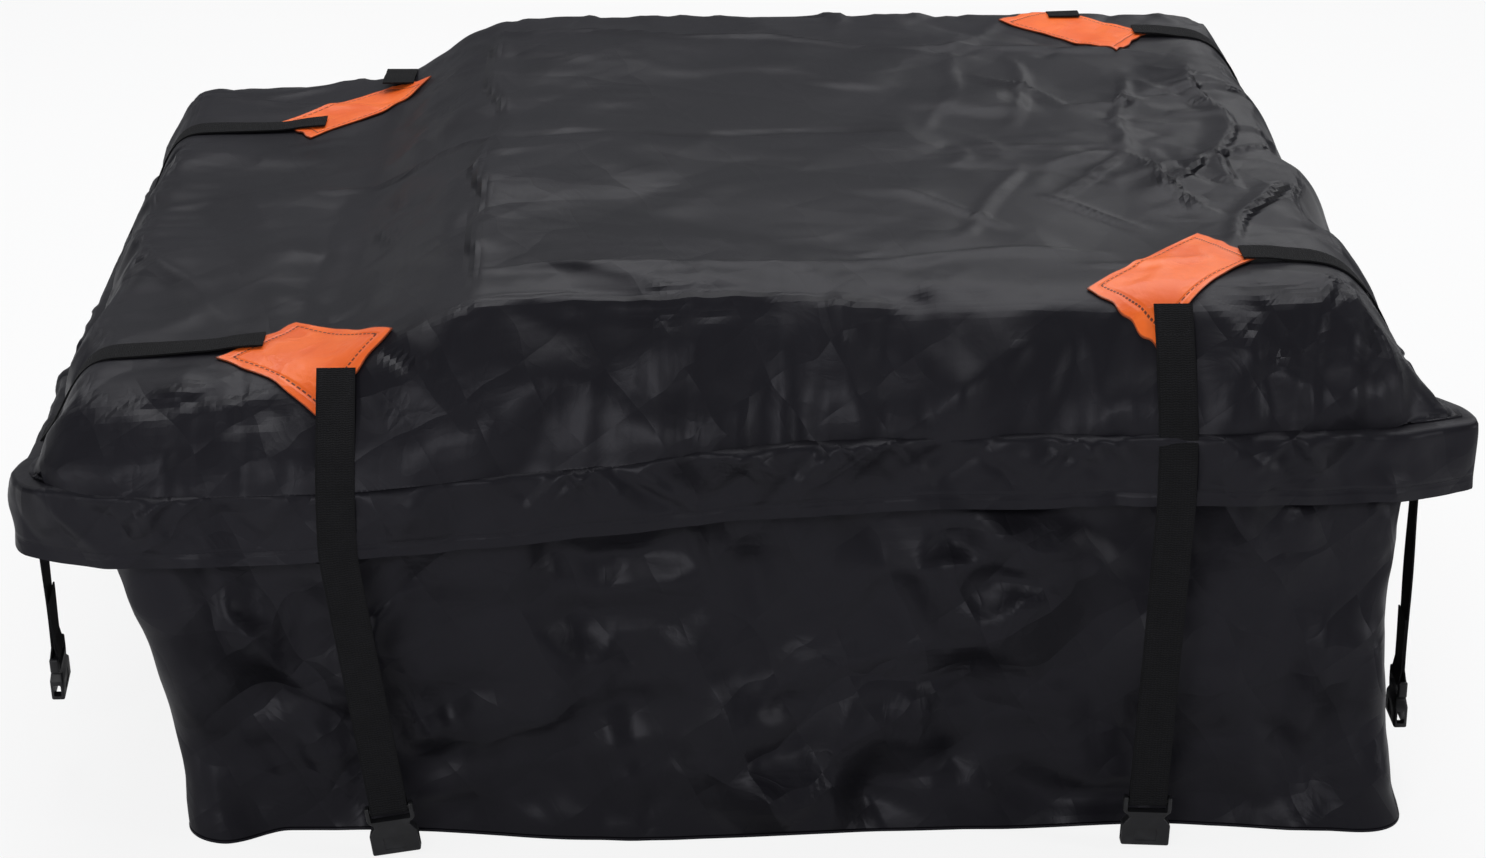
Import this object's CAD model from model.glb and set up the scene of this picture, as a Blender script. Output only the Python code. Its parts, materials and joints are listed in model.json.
import json
import logging
import math
from contextlib import contextmanager
from dataclasses import dataclass, field
from enum import Enum
from typing import Callable, Iterator, Mapping, Sequence

import bpy
import numpy as np
from mathutils import Matrix, Vector
from mathutils.bvhtree import BVHTree


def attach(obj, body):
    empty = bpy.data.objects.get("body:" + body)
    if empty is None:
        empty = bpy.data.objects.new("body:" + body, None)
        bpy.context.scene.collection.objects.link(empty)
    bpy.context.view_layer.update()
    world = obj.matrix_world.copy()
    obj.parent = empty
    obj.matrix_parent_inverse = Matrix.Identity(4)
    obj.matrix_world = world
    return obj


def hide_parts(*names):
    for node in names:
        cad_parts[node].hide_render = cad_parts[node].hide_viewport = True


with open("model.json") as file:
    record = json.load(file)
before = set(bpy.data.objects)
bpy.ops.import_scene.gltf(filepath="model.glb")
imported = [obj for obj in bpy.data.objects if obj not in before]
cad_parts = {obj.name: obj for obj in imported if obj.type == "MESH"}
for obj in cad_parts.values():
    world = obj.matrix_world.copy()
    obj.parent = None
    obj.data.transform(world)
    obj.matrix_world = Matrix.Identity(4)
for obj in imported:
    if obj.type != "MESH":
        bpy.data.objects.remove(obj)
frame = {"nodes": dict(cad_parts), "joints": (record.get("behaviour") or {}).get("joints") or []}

log = logging.getLogger("roof_cargo_bag")
MILLI = 0.001
MERGE = 1e-6
UP = Vector((0, 0, 1))
DOWN = Vector((0, 0, -1))
Array = np.ndarray
Point = tuple[float, float, float]
Tone = tuple[float, float, float]
Span = tuple[float, float]

# Names of the numbers that a mesh carries for its finish
STITCH_GAP = "stitch_gap"
STITCH_RUN = "stitch_run"
EDGE_GAP = "edge_gap"
ACROSS = "across"
ALONG = "along"
SLACK = "slack"


# Shader tools
class Term:
    """A shader value that takes part in Python expressions."""

    def __init__(self, bench: "ShaderBench", socket: bpy.types.NodeSocket) -> None:
        """Wraps an output socket.

        Args:
            bench: the material that the socket belongs to.
            socket: the output socket.
        """
        self.bench = bench
        self.socket = socket

    def maths(self, operation: str, *others: "Term | float") -> "Term":
        """Adds a Math node that starts from this value.

        Args:
            operation: the node's operation.
            others: its other operands.

        Returns:
            The node's result.
        """
        inputs = {0: self, **{k + 1: other for k, other in enumerate(others)}}
        return self.bench.term("ShaderNodeMath", {"operation": operation}, inputs)

    def reflected(self, operation: str, first: "Term | float") -> "Term":
        """Adds a Math node in which this value comes second.

        Args:
            operation: the node's operation.
            first: the first operand.

        Returns:
            The node's result.
        """
        settings = {"operation": operation}
        return self.bench.term("ShaderNodeMath", settings, {0: first, 1: self})

    def __add__(self, other: "Term | float") -> "Term":
        """Returns self + other."""
        return self.maths("ADD", other)

    def __radd__(self, other: float) -> "Term":
        """Returns other + self."""
        return self.maths("ADD", other)

    def __sub__(self, other: "Term | float") -> "Term":
        """Returns self - other."""
        return self.maths("SUBTRACT", other)

    def __rsub__(self, other: float) -> "Term":
        """Returns other - self."""
        return self.reflected("SUBTRACT", other)

    def __mul__(self, other: "Term | float") -> "Term":
        """Returns self * other."""
        return self.maths("MULTIPLY", other)

    def __truediv__(self, other: "Term | float") -> "Term":
        """Returns self / other."""
        return self.maths("DIVIDE", other)

    def __pow__(self, other: float) -> "Term":
        """Returns self to a power."""
        return self.maths("POWER", other)

    def __lt__(self, other: "Term | float") -> "Term":
        """Returns 1 where self is below other."""
        return self.maths("LESS_THAN", other)

    def __abs__(self) -> "Term":
        """Returns the absolute value."""
        return self.maths("ABSOLUTE")

    def fraction(self) -> "Term":
        """Returns the part after the decimal point."""
        return self.maths("FRACT")

    def sine(self) -> "Term":
        """Returns the sine."""
        return self.maths("SINE")

    def ridge(self) -> "Term":
        """Returns 1 where a noise value is 0.5, and less away from it."""
        return 1 - abs(self * 2 - 1)

    def ramp(self, low: float, high: float) -> "Term":
        """Returns a smooth step from 0 at low to 1 at high.

        Args:
            low: the value that becomes 0.
            high: the value that becomes 1.

        Returns:
            The stepped value.
        """
        settings = {"interpolation_type": "SMOOTHSTEP"}
        inputs = {"Value": self, "From Min": low, "From Max": high}
        return self.bench.term("ShaderNodeMapRange", settings, inputs)


class ShaderBench:
    """One material while its nodes are laid out."""

    def __init__(self, name: str) -> None:
        """Starts an empty material with a Principled shader.

        Args:
            name: the material's name.
        """
        self.material = bpy.data.materials.new(name)
        self.material.use_nodes = True
        self.material.node_tree.nodes.clear()
        self.shader = self.node("ShaderNodeBsdfPrincipled")
        self.node("ShaderNodeOutputMaterial", inputs={"Surface": self.shader.outputs[0]})

    def node(
        self,
        kind: str,
        settings: Mapping[str, object] | None = None,
        inputs: Mapping[int | str, object] | None = None,
    ) -> bpy.types.Node:
        """Makes one node.

        Args:
            kind: the node's type.
            settings: its settings, which are set first.
            inputs: values or links of its input sockets.

        Returns:
            The node.
        """
        tree = self.material.node_tree
        made = tree.nodes.new(kind)
        for key, value in (settings or {}).items():
            setattr(made, key, value)
        for key, value in (inputs or {}).items():
            if isinstance(value, Term):
                value = value.socket
            if isinstance(value, bpy.types.NodeSocket):
                tree.links.new(value, made.inputs[key])
            else:
                made.inputs[key].default_value = value
        return made

    def term(
        self,
        kind: str,
        settings: Mapping[str, object] | None = None,
        inputs: Mapping[int | str, object] | None = None,
        output: int | str = 0,
    ) -> Term:
        """Makes one node and wraps one of its outputs.

        Args:
            kind: the node's type.
            settings: its settings.
            inputs: values or links of its input sockets.
            output: the output that is wrapped.

        Returns:
            The output as a value.
        """
        return Term(self, self.node(kind, settings, inputs).outputs[output])

    def place(self) -> Term:
        """Returns the object's own coordinates, in metres."""
        return self.term("ShaderNodeTexCoord", output="Object")

    def attribute(self, name: str) -> Term:
        """Returns a number that the mesh carries.

        Args:
            name: the attribute's name.

        Returns:
            The attribute's value.
        """
        return self.term("ShaderNodeAttribute", {"attribute_name": name}, output="Fac")

    def noise(self, place: Term, scale: float, detail: float = 3, swirl: float = 0) -> Term:
        """Returns a noise value.

        Args:
            place: where it is read.
            scale: its features per metre.
            detail: its octaves.
            swirl: its distortion.

        Returns:
            The value, about 0.5 on average.
        """
        inputs = {"Vector": place, "Scale": scale, "Detail": detail, "Distortion": swirl}
        return self.term("ShaderNodeTexNoise", None, inputs)

    def folded(self, place: Term, waves_wanted: Sequence[tuple[Point, float]], drift: float) -> Term:
        """Returns flat facets with sharp creases: folded waves along some directions.

        Args:
            place: where it is read.
            waves_wanted: each wave's direction and the length of one flat.
            drift: how far noise bends the creases, in flats.

        Returns:
            The sum of the waves, as a height in metres for a slope of 1.
        """
        total = None
        for number, (direction, length) in enumerate(waves_wanted):
            settings = {"operation": "DOT_PRODUCT"}
            inputs = {0: place, 1: Vector(direction).normalized()}
            along = self.term("ShaderNodeVectorMath", settings, inputs, output=1)
            bend = self.noise(place, 0.45 / length, 2, 0.3 * number)
            wave = (along / length + bend * drift + 10.37 * number).maths("PINGPONG", 1.0) * length
            total = wave if total is None else total + wave
        return total

    def stitches(self, gap: Term, length: float, filled: float, thick: Span) -> Term:
        """Returns a sewn line: 1 on its stitches, 0 between them and beside them.

        Args:
            gap: the distance from the line.
            length: from one stitch to the next.
            filled: the share of that length that shows thread.
            thick: the distances between which the thread fades out.

        Returns:
            The thread's share.
        """
        dash = (self.attribute(STITCH_RUN) / length).fraction() < filled
        return (1 - gap.ramp(*thick)) * dash

    def tint(self, share: Term | float, first: Tone | Term, second: Tone | Term) -> Term:
        """Mixes two colours.

        Args:
            share: the second colour's share.
            first: the first colour.
            second: the second colour.

        Returns:
            The mixed colour.
        """
        ends = [(*c, 1) if isinstance(c, (tuple, list)) else c for c in (first, second)]
        settings = {"data_type": "RGBA"}
        inputs = {0: share, 6: ends[0], 7: ends[1]}
        return self.term("ShaderNodeMix", settings, inputs, output=2)

    def finish(
        self, colour: Term, roughness: Term, height: Term, relief: float, fixed: Mapping[str, object]
    ) -> bpy.types.Material:
        """Links what varies to the shader and sets what is the same all over.

        Args:
            colour: the base colour.
            roughness: the roughness.
            height: the relief, as a share.
            relief: the height of a share of 1, in metres.
            fixed: values of other sockets.

        Returns:
            The material.
        """
        tree = self.material.node_tree
        bump = self.term("ShaderNodeBump", None, {"Height": height, "Distance": relief})
        for key, source in (("Base Color", colour), ("Roughness", roughness), ("Normal", bump)):
            tree.links.new(source.socket, self.shader.inputs[key])
        for key, value in fixed.items():
            self.shader.inputs[key].default_value = value
        return self.material


# Finishes
# Directions and lengths of the flats between the cloth's fine creases
CLOTH_FLATS = (
    ((1.0, 0.3, 0.5), 0.052),
    ((0.4, 1.0, -0.9), 0.071),
    ((-0.8, 0.6, 1.0), 0.043),
    ((0.3, -0.9, 1.0), 0.094),
)


@dataclass(frozen=True)
class ClothFinish:
    """Coated black polyester with a soft sheen and small creases."""

    name: str = "coated_cloth"
    dark: Tone = (0.0078, 0.0075, 0.0098)
    pale: Tone = (0.0108, 0.0104, 0.0134)
    relief: float = 0.0036
    slope: float = 0.095
    stitch_length: float = 0.0042

    def material(self) -> bpy.types.Material:
        """Lays out the material.

        Returns:
            The finished material.
        """
        bench = ShaderBench(self.name)
        place = bench.place()
        worked = bench.noise(place, 4.2, 2).ramp(0.44, 0.62)
        broad = bench.noise(place, 7.5, 3, 0.7)
        small = bench.noise(place, 24, 3, 1.0)
        grain = bench.noise(place, 1300, 1)
        gap = bench.attribute(STITCH_GAP)
        thread = bench.stitches(gap, self.stitch_length, 0.68, (0.0005, 0.0011))
        furrow = 1 - gap.ramp(0.0006, 0.0042)
        creases = broad.ridge() ** 3 * 0.2 + small.ridge() ** 4 * 0.05
        flats = bench.folded(place, CLOTH_FLATS, 1.0) * (self.slope / self.relief)
        slack = bench.attribute(SLACK)
        height = (creases + flats) * (0.3 + worked * 0.7) * slack + grain * 0.012
        height = height + thread * 0.12 - furrow * 0.16
        cloudy = bench.noise(place, 3.2, 3).ramp(0.3, 0.75)
        colour = bench.tint(cloudy, self.dark, self.pale)
        roughness = 0.38 + cloudy * 0.06 + grain * 0.05 + thread * 0.2
        fixed = {"Specular IOR Level": 0.16, "Specular Tint": (0.92, 0.91, 1.0, 1.0)}
        return bench.finish(colour, roughness, height, self.relief, fixed)


@dataclass(frozen=True)
class PatchFinish:
    """Bright PVC-coated cloth: soft gloss, a sewn line and a worn dark edge."""

    name: str = "patch_pvc"
    bright: Tone = (0.93, 0.165, 0.022)
    deep: Tone = (0.82, 0.12, 0.014)
    edge: Tone = (0.11, 0.025, 0.012)
    thread: Tone = (0.045, 0.016, 0.012)
    relief: float = 0.0013
    stitch_length: float = 0.0046
    stitched_at: float = 0.0088

    def material(self) -> bpy.types.Material:
        """Lays out the material.

        Returns:
            The finished material.
        """
        bench = ShaderBench(self.name)
        place = bench.place()
        gap = bench.attribute(EDGE_GAP)
        sewn = abs(gap - self.stitched_at)
        thread = bench.stitches(sewn, self.stitch_length, 0.66, (0.00045, 0.0009))
        furrow = 1 - sewn.ramp(0.0006, 0.0032)
        worn = 1 - (gap + bench.noise(place, 420, 2) * 0.0009).ramp(0.0007, 0.0017)
        cloudy = bench.noise(place, 34, 3, 0.4)
        grain = bench.noise(place, 900, 2)
        colour = bench.tint(cloudy.ramp(0.3, 0.7), self.bright, self.deep)
        colour = bench.tint(worn * 0.8, colour, self.edge)
        colour = bench.tint(thread * 0.9, colour, self.thread)
        height = cloudy.ridge() ** 2 * 0.5 + grain * 0.05 + thread * 0.3 - furrow * 0.45
        roughness = 0.33 + cloudy * 0.1 + grain * 0.06 + thread * 0.2
        fixed = {"Specular IOR Level": 0.38}
        return bench.finish(colour, roughness, height, self.relief, fixed)


@dataclass(frozen=True)
class WebbingFinish:
    """Woven black webbing: close ribs across it, a border and box stitches."""

    name: str = "webbing"
    dark: Tone = (0.0040, 0.0040, 0.0046)
    pale: Tone = (0.0100, 0.0100, 0.0114)
    rib: float = 0.0019
    cord: float = 0.0024
    relief: float = 0.0005
    stitch_length: float = 0.0036

    def material(self) -> bpy.types.Material:
        """Lays out the material.

        Returns:
            The finished material.
        """
        bench = ShaderBench(self.name)
        place = bench.place()
        across = bench.attribute(ACROSS)
        along = bench.attribute(ALONG)
        rows = (along * (2 * math.pi / self.rib) + (across * 900).sine() * 0.9).sine()
        cords = (across * (2 * math.pi / self.cord)).sine()
        border = abs(across).ramp(0.0128, 0.0138)
        fuzz = bench.noise(place, 1500, 2)
        gap = bench.attribute(STITCH_GAP)
        thread = bench.stitches(gap, self.stitch_length, 0.64, (0.0005, 0.001))
        weave = (rows * 0.5 + 0.5) * (1 - border * 0.7) + cords * 0.16
        height = weave * 0.7 + fuzz * 0.25 + thread * 0.7
        shade = weave * 0.5 + bench.noise(place, 60, 3) * 0.5 + thread * 0.6
        colour = bench.tint(shade.ramp(0.1, 1.0), self.dark, self.pale)
        roughness = 0.8 + fuzz * 0.12
        fixed = {"Specular IOR Level": 0.15}
        return bench.finish(colour, roughness, height, self.relief, fixed)


class Moulding(Enum):
    """The rigid finishes: colour, roughness, metal share and grain height."""

    BUCKLE = ("buckle_plastic", (0.0095, 0.0096, 0.0108), 0.42, 0.0, 0.00008)
    CHAIN = ("zip_coil", (0.012, 0.012, 0.0135), 0.5, 0.0, 0.0001)
    METAL = ("lacquered_metal", (0.03, 0.03, 0.034), 0.34, 0.85, 0.00003)


@dataclass(frozen=True)
class MouldedFinish:
    """A hard dark surface with a fine grain and lightly rubbed patches."""

    kind: Moulding

    def material(self) -> bpy.types.Material:
        """Lays out the material.

        Returns:
            The finished material.
        """
        name, tone, rough, metal, grain_height = self.kind.value
        bench = ShaderBench(name)
        place = bench.place()
        grain = bench.noise(place, 1800, 2)
        rubbed = bench.noise(place, 55, 3).ramp(0.48, 0.72)
        lighter = tuple(1.7 * channel for channel in tone)
        colour = bench.tint(rubbed, tone, lighter)
        roughness = rough + grain * 0.1 - rubbed * 0.07
        fixed = {"Metallic": metal, "Specular IOR Level": 0.32}
        return bench.finish(colour, roughness, grain, grain_height, fixed)


@dataclass(frozen=True)
class TapeFinish:
    """Woven zip tape: a fine herringbone."""

    name: str = "zip_tape"
    tone: Tone = (0.009, 0.009, 0.01)

    def material(self) -> bpy.types.Material:
        """Lays out the material.

        Returns:
            The finished material.
        """
        bench = ShaderBench(self.name)
        place = bench.place()
        weave = bench.noise(place, 1100, 1)
        cloudy = bench.noise(place, 40, 3)
        colour = bench.tint(cloudy, self.tone, tuple(1.8 * c for c in self.tone))
        roughness = 0.8 + weave * 0.12
        return bench.finish(colour, roughness, weave, 0.0002, {"Specular IOR Level": 0.25})


@dataclass(frozen=True)
class FloorFinish:
    """Plain pale studio floor."""

    name: str = "studio_floor"
    tone: Tone = (0.86, 0.86, 0.87)
    glow: float = 0.86
    mirrored: float = 0.3

    def material(self) -> bpy.types.Material:
        """Lays out the material.

        Returns:
            The finished material.
        """
        bench = ShaderBench(self.name)
        place = bench.place()
        cloudy = bench.noise(place, 2, 2)
        colour = bench.tint(cloudy, self.tone, tuple(0.985 * c for c in self.tone))
        roughness = 0.85 + cloudy * 0.05
        material = bench.finish(colour, roughness, cloudy, 0.00001, {"Specular IOR Level": 0.1})
        paths = bench.node("ShaderNodeLightPath").outputs
        rays = [Term(bench, paths[f"Is {kind} Ray"]) for kind in ("Camera", "Glossy", "Transmission")]
        seen = rays[0].maths("MAXIMUM", rays[1] * self.mirrored).maths("MAXIMUM", rays[2])
        glow = bench.node("ShaderNodeEmission", None, {"Color": (1, 1, 1, 1), "Strength": 1.0})
        inputs = {0: seen * self.glow, 1: bench.shader.outputs[0], 2: glow.outputs[0]}
        mixed = bench.node("ShaderNodeMixShader", None, inputs)
        surface = material.node_tree.nodes["Material Output"].inputs["Surface"]
        material.node_tree.links.new(mixed.outputs[0], surface)
        return material


class Finishes:
    """Each finish, made when it is first asked for."""

    made: dict[str, bpy.types.Material] = {}

    @classmethod
    def of(cls, finish: object) -> bpy.types.Material:
        """Returns the material of a finish.

        Args:
            finish: one of the finish objects.

        Returns:
            Its material, the same one each time.
        """
        key = repr(finish)
        if key not in cls.made:
            cls.made[key] = finish.material()
        return cls.made[key]


# Workbench
class Bench:
    """Blender's tools, used as by hand on one object at a time."""

    @staticmethod
    def take(obj: bpy.types.Object) -> None:
        """Selects one object alone and makes it the active one.

        Args:
            obj: the object.
        """
        if bpy.context.object and bpy.context.object.mode != "OBJECT":
            bpy.ops.object.mode_set(mode="OBJECT")
        bpy.ops.object.select_all(action="DESELECT")
        obj.select_set(True)
        bpy.context.view_layer.objects.active = obj

    @classmethod
    @contextmanager
    def editing(cls, obj: bpy.types.Object) -> Iterator[None]:
        """Opens an object for editing with all of it selected, and closes it again.

        Args:
            obj: the object.

        Yields:
            Nothing: the edits are made meanwhile.
        """
        cls.take(obj)
        bpy.ops.object.mode_set(mode="EDIT")
        bpy.ops.mesh.select_all(action="SELECT")
        yield
        bpy.ops.object.mode_set(mode="OBJECT")

    @staticmethod
    def named(name: str) -> bpy.types.Object:
        """Names the object that was just added.

        Args:
            name: its new name.

        Returns:
            The object.
        """
        obj = bpy.context.object
        obj.name = name
        obj.data.name = name
        return obj

    @classmethod
    def grid(cls, name: str, columns: int, rows: int) -> bpy.types.Object:
        """Adds a flat grid of so many points each way.

        Args:
            name: the object's name.
            columns: points along X.
            rows: points along Y.

        Returns:
            The grid, its points in rows from low Y to high Y.
        """
        bpy.ops.mesh.primitive_grid_add(
            x_subdivisions=columns - 1, y_subdivisions=rows - 1, size=2, location=(0, 0, 0)
        )
        return cls.named(name)

    @staticmethod
    def points(obj: bpy.types.Object) -> Array:
        """Reads the object's points.

        Args:
            obj: the object.

        Returns:
            One row per point.
        """
        data = np.zeros(len(obj.data.vertices) * 3)
        obj.data.vertices.foreach_get("co", data)
        return data.reshape(-1, 3)

    @staticmethod
    def move_points(obj: bpy.types.Object, points: Array) -> None:
        """Moves the object's points.

        Args:
            obj: the object.
            points: their new places.
        """
        obj.data.vertices.foreach_set("co", np.asarray(points, float).ravel())
        obj.data.update()

    @staticmethod
    def note(obj: bpy.types.Object, name: str, values: Array) -> None:
        """Writes one number per point into the mesh.

        Args:
            obj: the object.
            name: the attribute's name.
            values: the numbers.
        """
        layer = obj.data.attributes.new(name, "FLOAT", "POINT")
        layer.data.foreach_set("value", np.asarray(values, np.float32).ravel())

    @classmethod
    def modifier(cls, obj: bpy.types.Object, kind: str, **settings: object) -> None:
        """Adds a modifier and applies it.

        Args:
            obj: the object.
            kind: the modifier's type.
            settings: its settings.
        """
        cls.take(obj)
        made = obj.modifiers.new(kind.lower(), kind)
        for key, value in settings.items():
            setattr(made, key, value)
        bpy.ops.object.modifier_apply(modifier=made.name)

    @classmethod
    def smooth(cls, obj: bpy.types.Object, degrees: float) -> None:
        """Shades the object smooth up to an angle between faces.

        Args:
            obj: the object.
            degrees: the angle.
        """
        cls.take(obj)
        bpy.ops.object.shade_smooth_by_angle(angle=math.radians(degrees))

    @classmethod
    def recalculate(cls, obj: bpy.types.Object) -> None:
        """Merges doubles and turns all faces outwards.

        Args:
            obj: the object.
        """
        with cls.editing(obj):
            bpy.ops.mesh.remove_doubles(threshold=MERGE)
            bpy.ops.mesh.normals_make_consistent(inside=False)

    @classmethod
    def thicken(cls, obj: bpy.types.Object, thickness: float, degrees: float) -> None:
        """Makes a sheet of cloth from a surface: faces outwards, thickness inwards, smooth.

        Args:
            obj: the surface.
            thickness: the cloth's thickness.
            degrees: the angle between faces up to which it is shaded smooth.
        """
        cls.recalculate(obj)
        cls.modifier(obj, "SOLIDIFY", thickness=thickness, offset=-1)
        cls.smooth(obj, degrees)

    @classmethod
    def copy_of(cls, node: str, name: str) -> bpy.types.Object:
        """Copies a CAD node's mesh into a new object and merges its loose triangles.

        Args:
            node: the CAD node.
            name: the new object's name.

        Returns:
            The copy.
        """
        obj = bpy.data.objects.new(name, frame["nodes"][node].data.copy())
        bpy.context.scene.collection.objects.link(obj)
        obj.data.materials.clear()
        with cls.editing(obj):
            bpy.ops.mesh.remove_doubles(threshold=MERGE)
        return obj

    @staticmethod
    def drop(obj: bpy.types.Object) -> None:
        """Deletes a helper object.

        Args:
            obj: the object.
        """
        bpy.data.objects.remove(obj)

    @staticmethod
    def dress(obj: bpy.types.Object, finish: object, slot: str) -> None:
        """Gives the object one material and its slot of the record.

        Args:
            obj: the object.
            finish: one of the finish objects.
            slot: the record's material slot.
        """
        obj.data.materials.clear()
        obj.data.materials.append(Finishes.of(finish))

    @staticmethod
    def surface(obj: bpy.types.Object) -> BVHTree:
        """Returns the object's surface for ray casts.

        Args:
            obj: the object.

        Returns:
            The surface, as it is now.
        """
        mesh = obj.data
        corners = [vertex.co.copy() for vertex in mesh.vertices]
        return BVHTree.FromPolygons(corners, [tuple(face.vertices) for face in mesh.polygons])


def smoothstep(values: Array, low: float, high: float) -> Array:
    """Returns a smooth step from 0 at low to 1 at high.

    Args:
        values: the values.
        low: the value that becomes 0.
        high: the value that becomes 1.

    Returns:
        The stepped values.
    """
    share = np.clip((values - low) / (high - low), 0, 1)
    return share * share * (3 - 2 * share)


def dropped_on(surface: BVHTree, x: float, y: float) -> tuple:
    """Finds what lies under a place, seen from above.

    Args:
        surface: the surface.
        x: the place's X.
        y: the place's Y.

    Returns:
        The point and its normal, then two more values. The point is None beside the surface.
    """
    return surface.ray_cast(Vector((x, y, 1)), DOWN)


def unit(rows: Array) -> Array:
    """Returns rows of vectors, each scaled to a length of one."""
    return rows / np.linalg.norm(rows, axis=-1)[..., None]


def either_way(random: np.random.Generator, share: float = 0.6) -> int:
    """Returns 1 for a share of the draws, and -1 for the others."""
    return 1 if random.random() < share else -1


def waves(points: Array, length: float, seed: int) -> Array:
    """Returns a smooth random field made of plane waves, about -1 to 1.

    Args:
        points: where it is read.
        length: its typical wave length, in metres.
        seed: picks the field.

    Returns:
        One value per point.
    """
    count = 9
    random = np.random.default_rng(seed)
    directions = unit(random.normal(size=(count, 3)))
    lengths = length * random.uniform(0.7, 1.6, count)
    phases = random.uniform(0, 2 * math.pi, count)
    angles = points @ (directions / lengths[:, None]).T * 2 * math.pi + phases
    return np.sin(angles).sum(axis=1) / math.sqrt(count)


# How firm the creases between facets are: 1 would be a knife's edge
FIRMNESS = 0.992


def facets(points: Array, length: float, seed: int, count: int) -> Array:
    """Returns a field of flat facets with firm creases between them, about -1 to 1.

    Args:
        points: where it is read.
        length: the typical size of two facets, in metres.
        seed: picks the field.
        count: how many folded waves are added.

    Returns:
        One value per point.
    """
    random = np.random.default_rng(seed)
    drift = np.stack([waves(points, 1.7 * length, seed + 50 + k) for k in range(3)], axis=1)
    swayed = points + 0.22 * length * drift
    total = np.zeros(len(points))
    for _ in range(count):
        direction = random.normal(size=3)
        direction /= np.linalg.norm(direction)
        angle = swayed @ direction * 2 * math.pi / (length * random.uniform(0.7, 1.5))
        folded = np.arcsin(FIRMNESS * np.sin(angle + random.uniform(0, 2 * math.pi)))
        total += folded * 2 / math.pi
    return total / math.sqrt(count)


def blurred(values: Array, axis: int, width: float, closed: bool) -> Array:
    """Smooths an array along one axis with a bell-shaped weight.

    Args:
        values: the array.
        axis: the axis.
        width: the bell's width, in steps.
        closed: whether the axis closes on itself.

    Returns:
        The smoothed array.
    """
    reach = int(math.ceil(3 * width))
    steps = np.arange(-reach, reach + 1)
    weights = np.exp(-0.5 * (steps / width) ** 2)
    weights /= weights.sum()
    pads = [(0, 0)] * values.ndim
    pads[axis] = (reach, reach)
    if closed:
        padded = np.pad(values, pads, mode="wrap")
    else:
        padded = np.pad(values, pads, mode="reflect", reflect_type="odd")
    length = values.shape[axis]
    total = np.zeros_like(values)
    for step, weight in zip(range(2 * reach + 1), weights):
        total += weight * np.take(padded, range(step, step + length), axis=axis)
    return total


# Folds in cloth
@dataclass(frozen=True)
class Layer:
    """One layer of unevenness in cloth: its height and length in metres, and its seed.

    The count is the number of folded waves that its facets are made of.
    """

    height: float
    length: float
    seed: int
    count: int = 5

    def waves(self, points: Array) -> Array:
        """Returns the layer as smooth waves."""
        return self.height * waves(points, self.length, self.seed)

    def facets(self, points: Array) -> Array:
        """Returns the layer as flat facets with firm creases."""
        return self.height * facets(points, self.length, self.seed, self.count)


@dataclass(frozen=True)
class FoldStyle:
    """How the rows of a table become folds: two factors for their size, and their sharpness."""

    width: float
    height: float
    sharp: float


@dataclass(frozen=True)
class Fold:
    """A ridge in the cloth from one place to another, steeper on one side.

    A valley has a negative height, and the sign of the lean picks the steep side.
    """

    start: Point
    end: Point
    width: float
    height: float
    sharp: float = 0.5
    lean: float = 0.0


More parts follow.
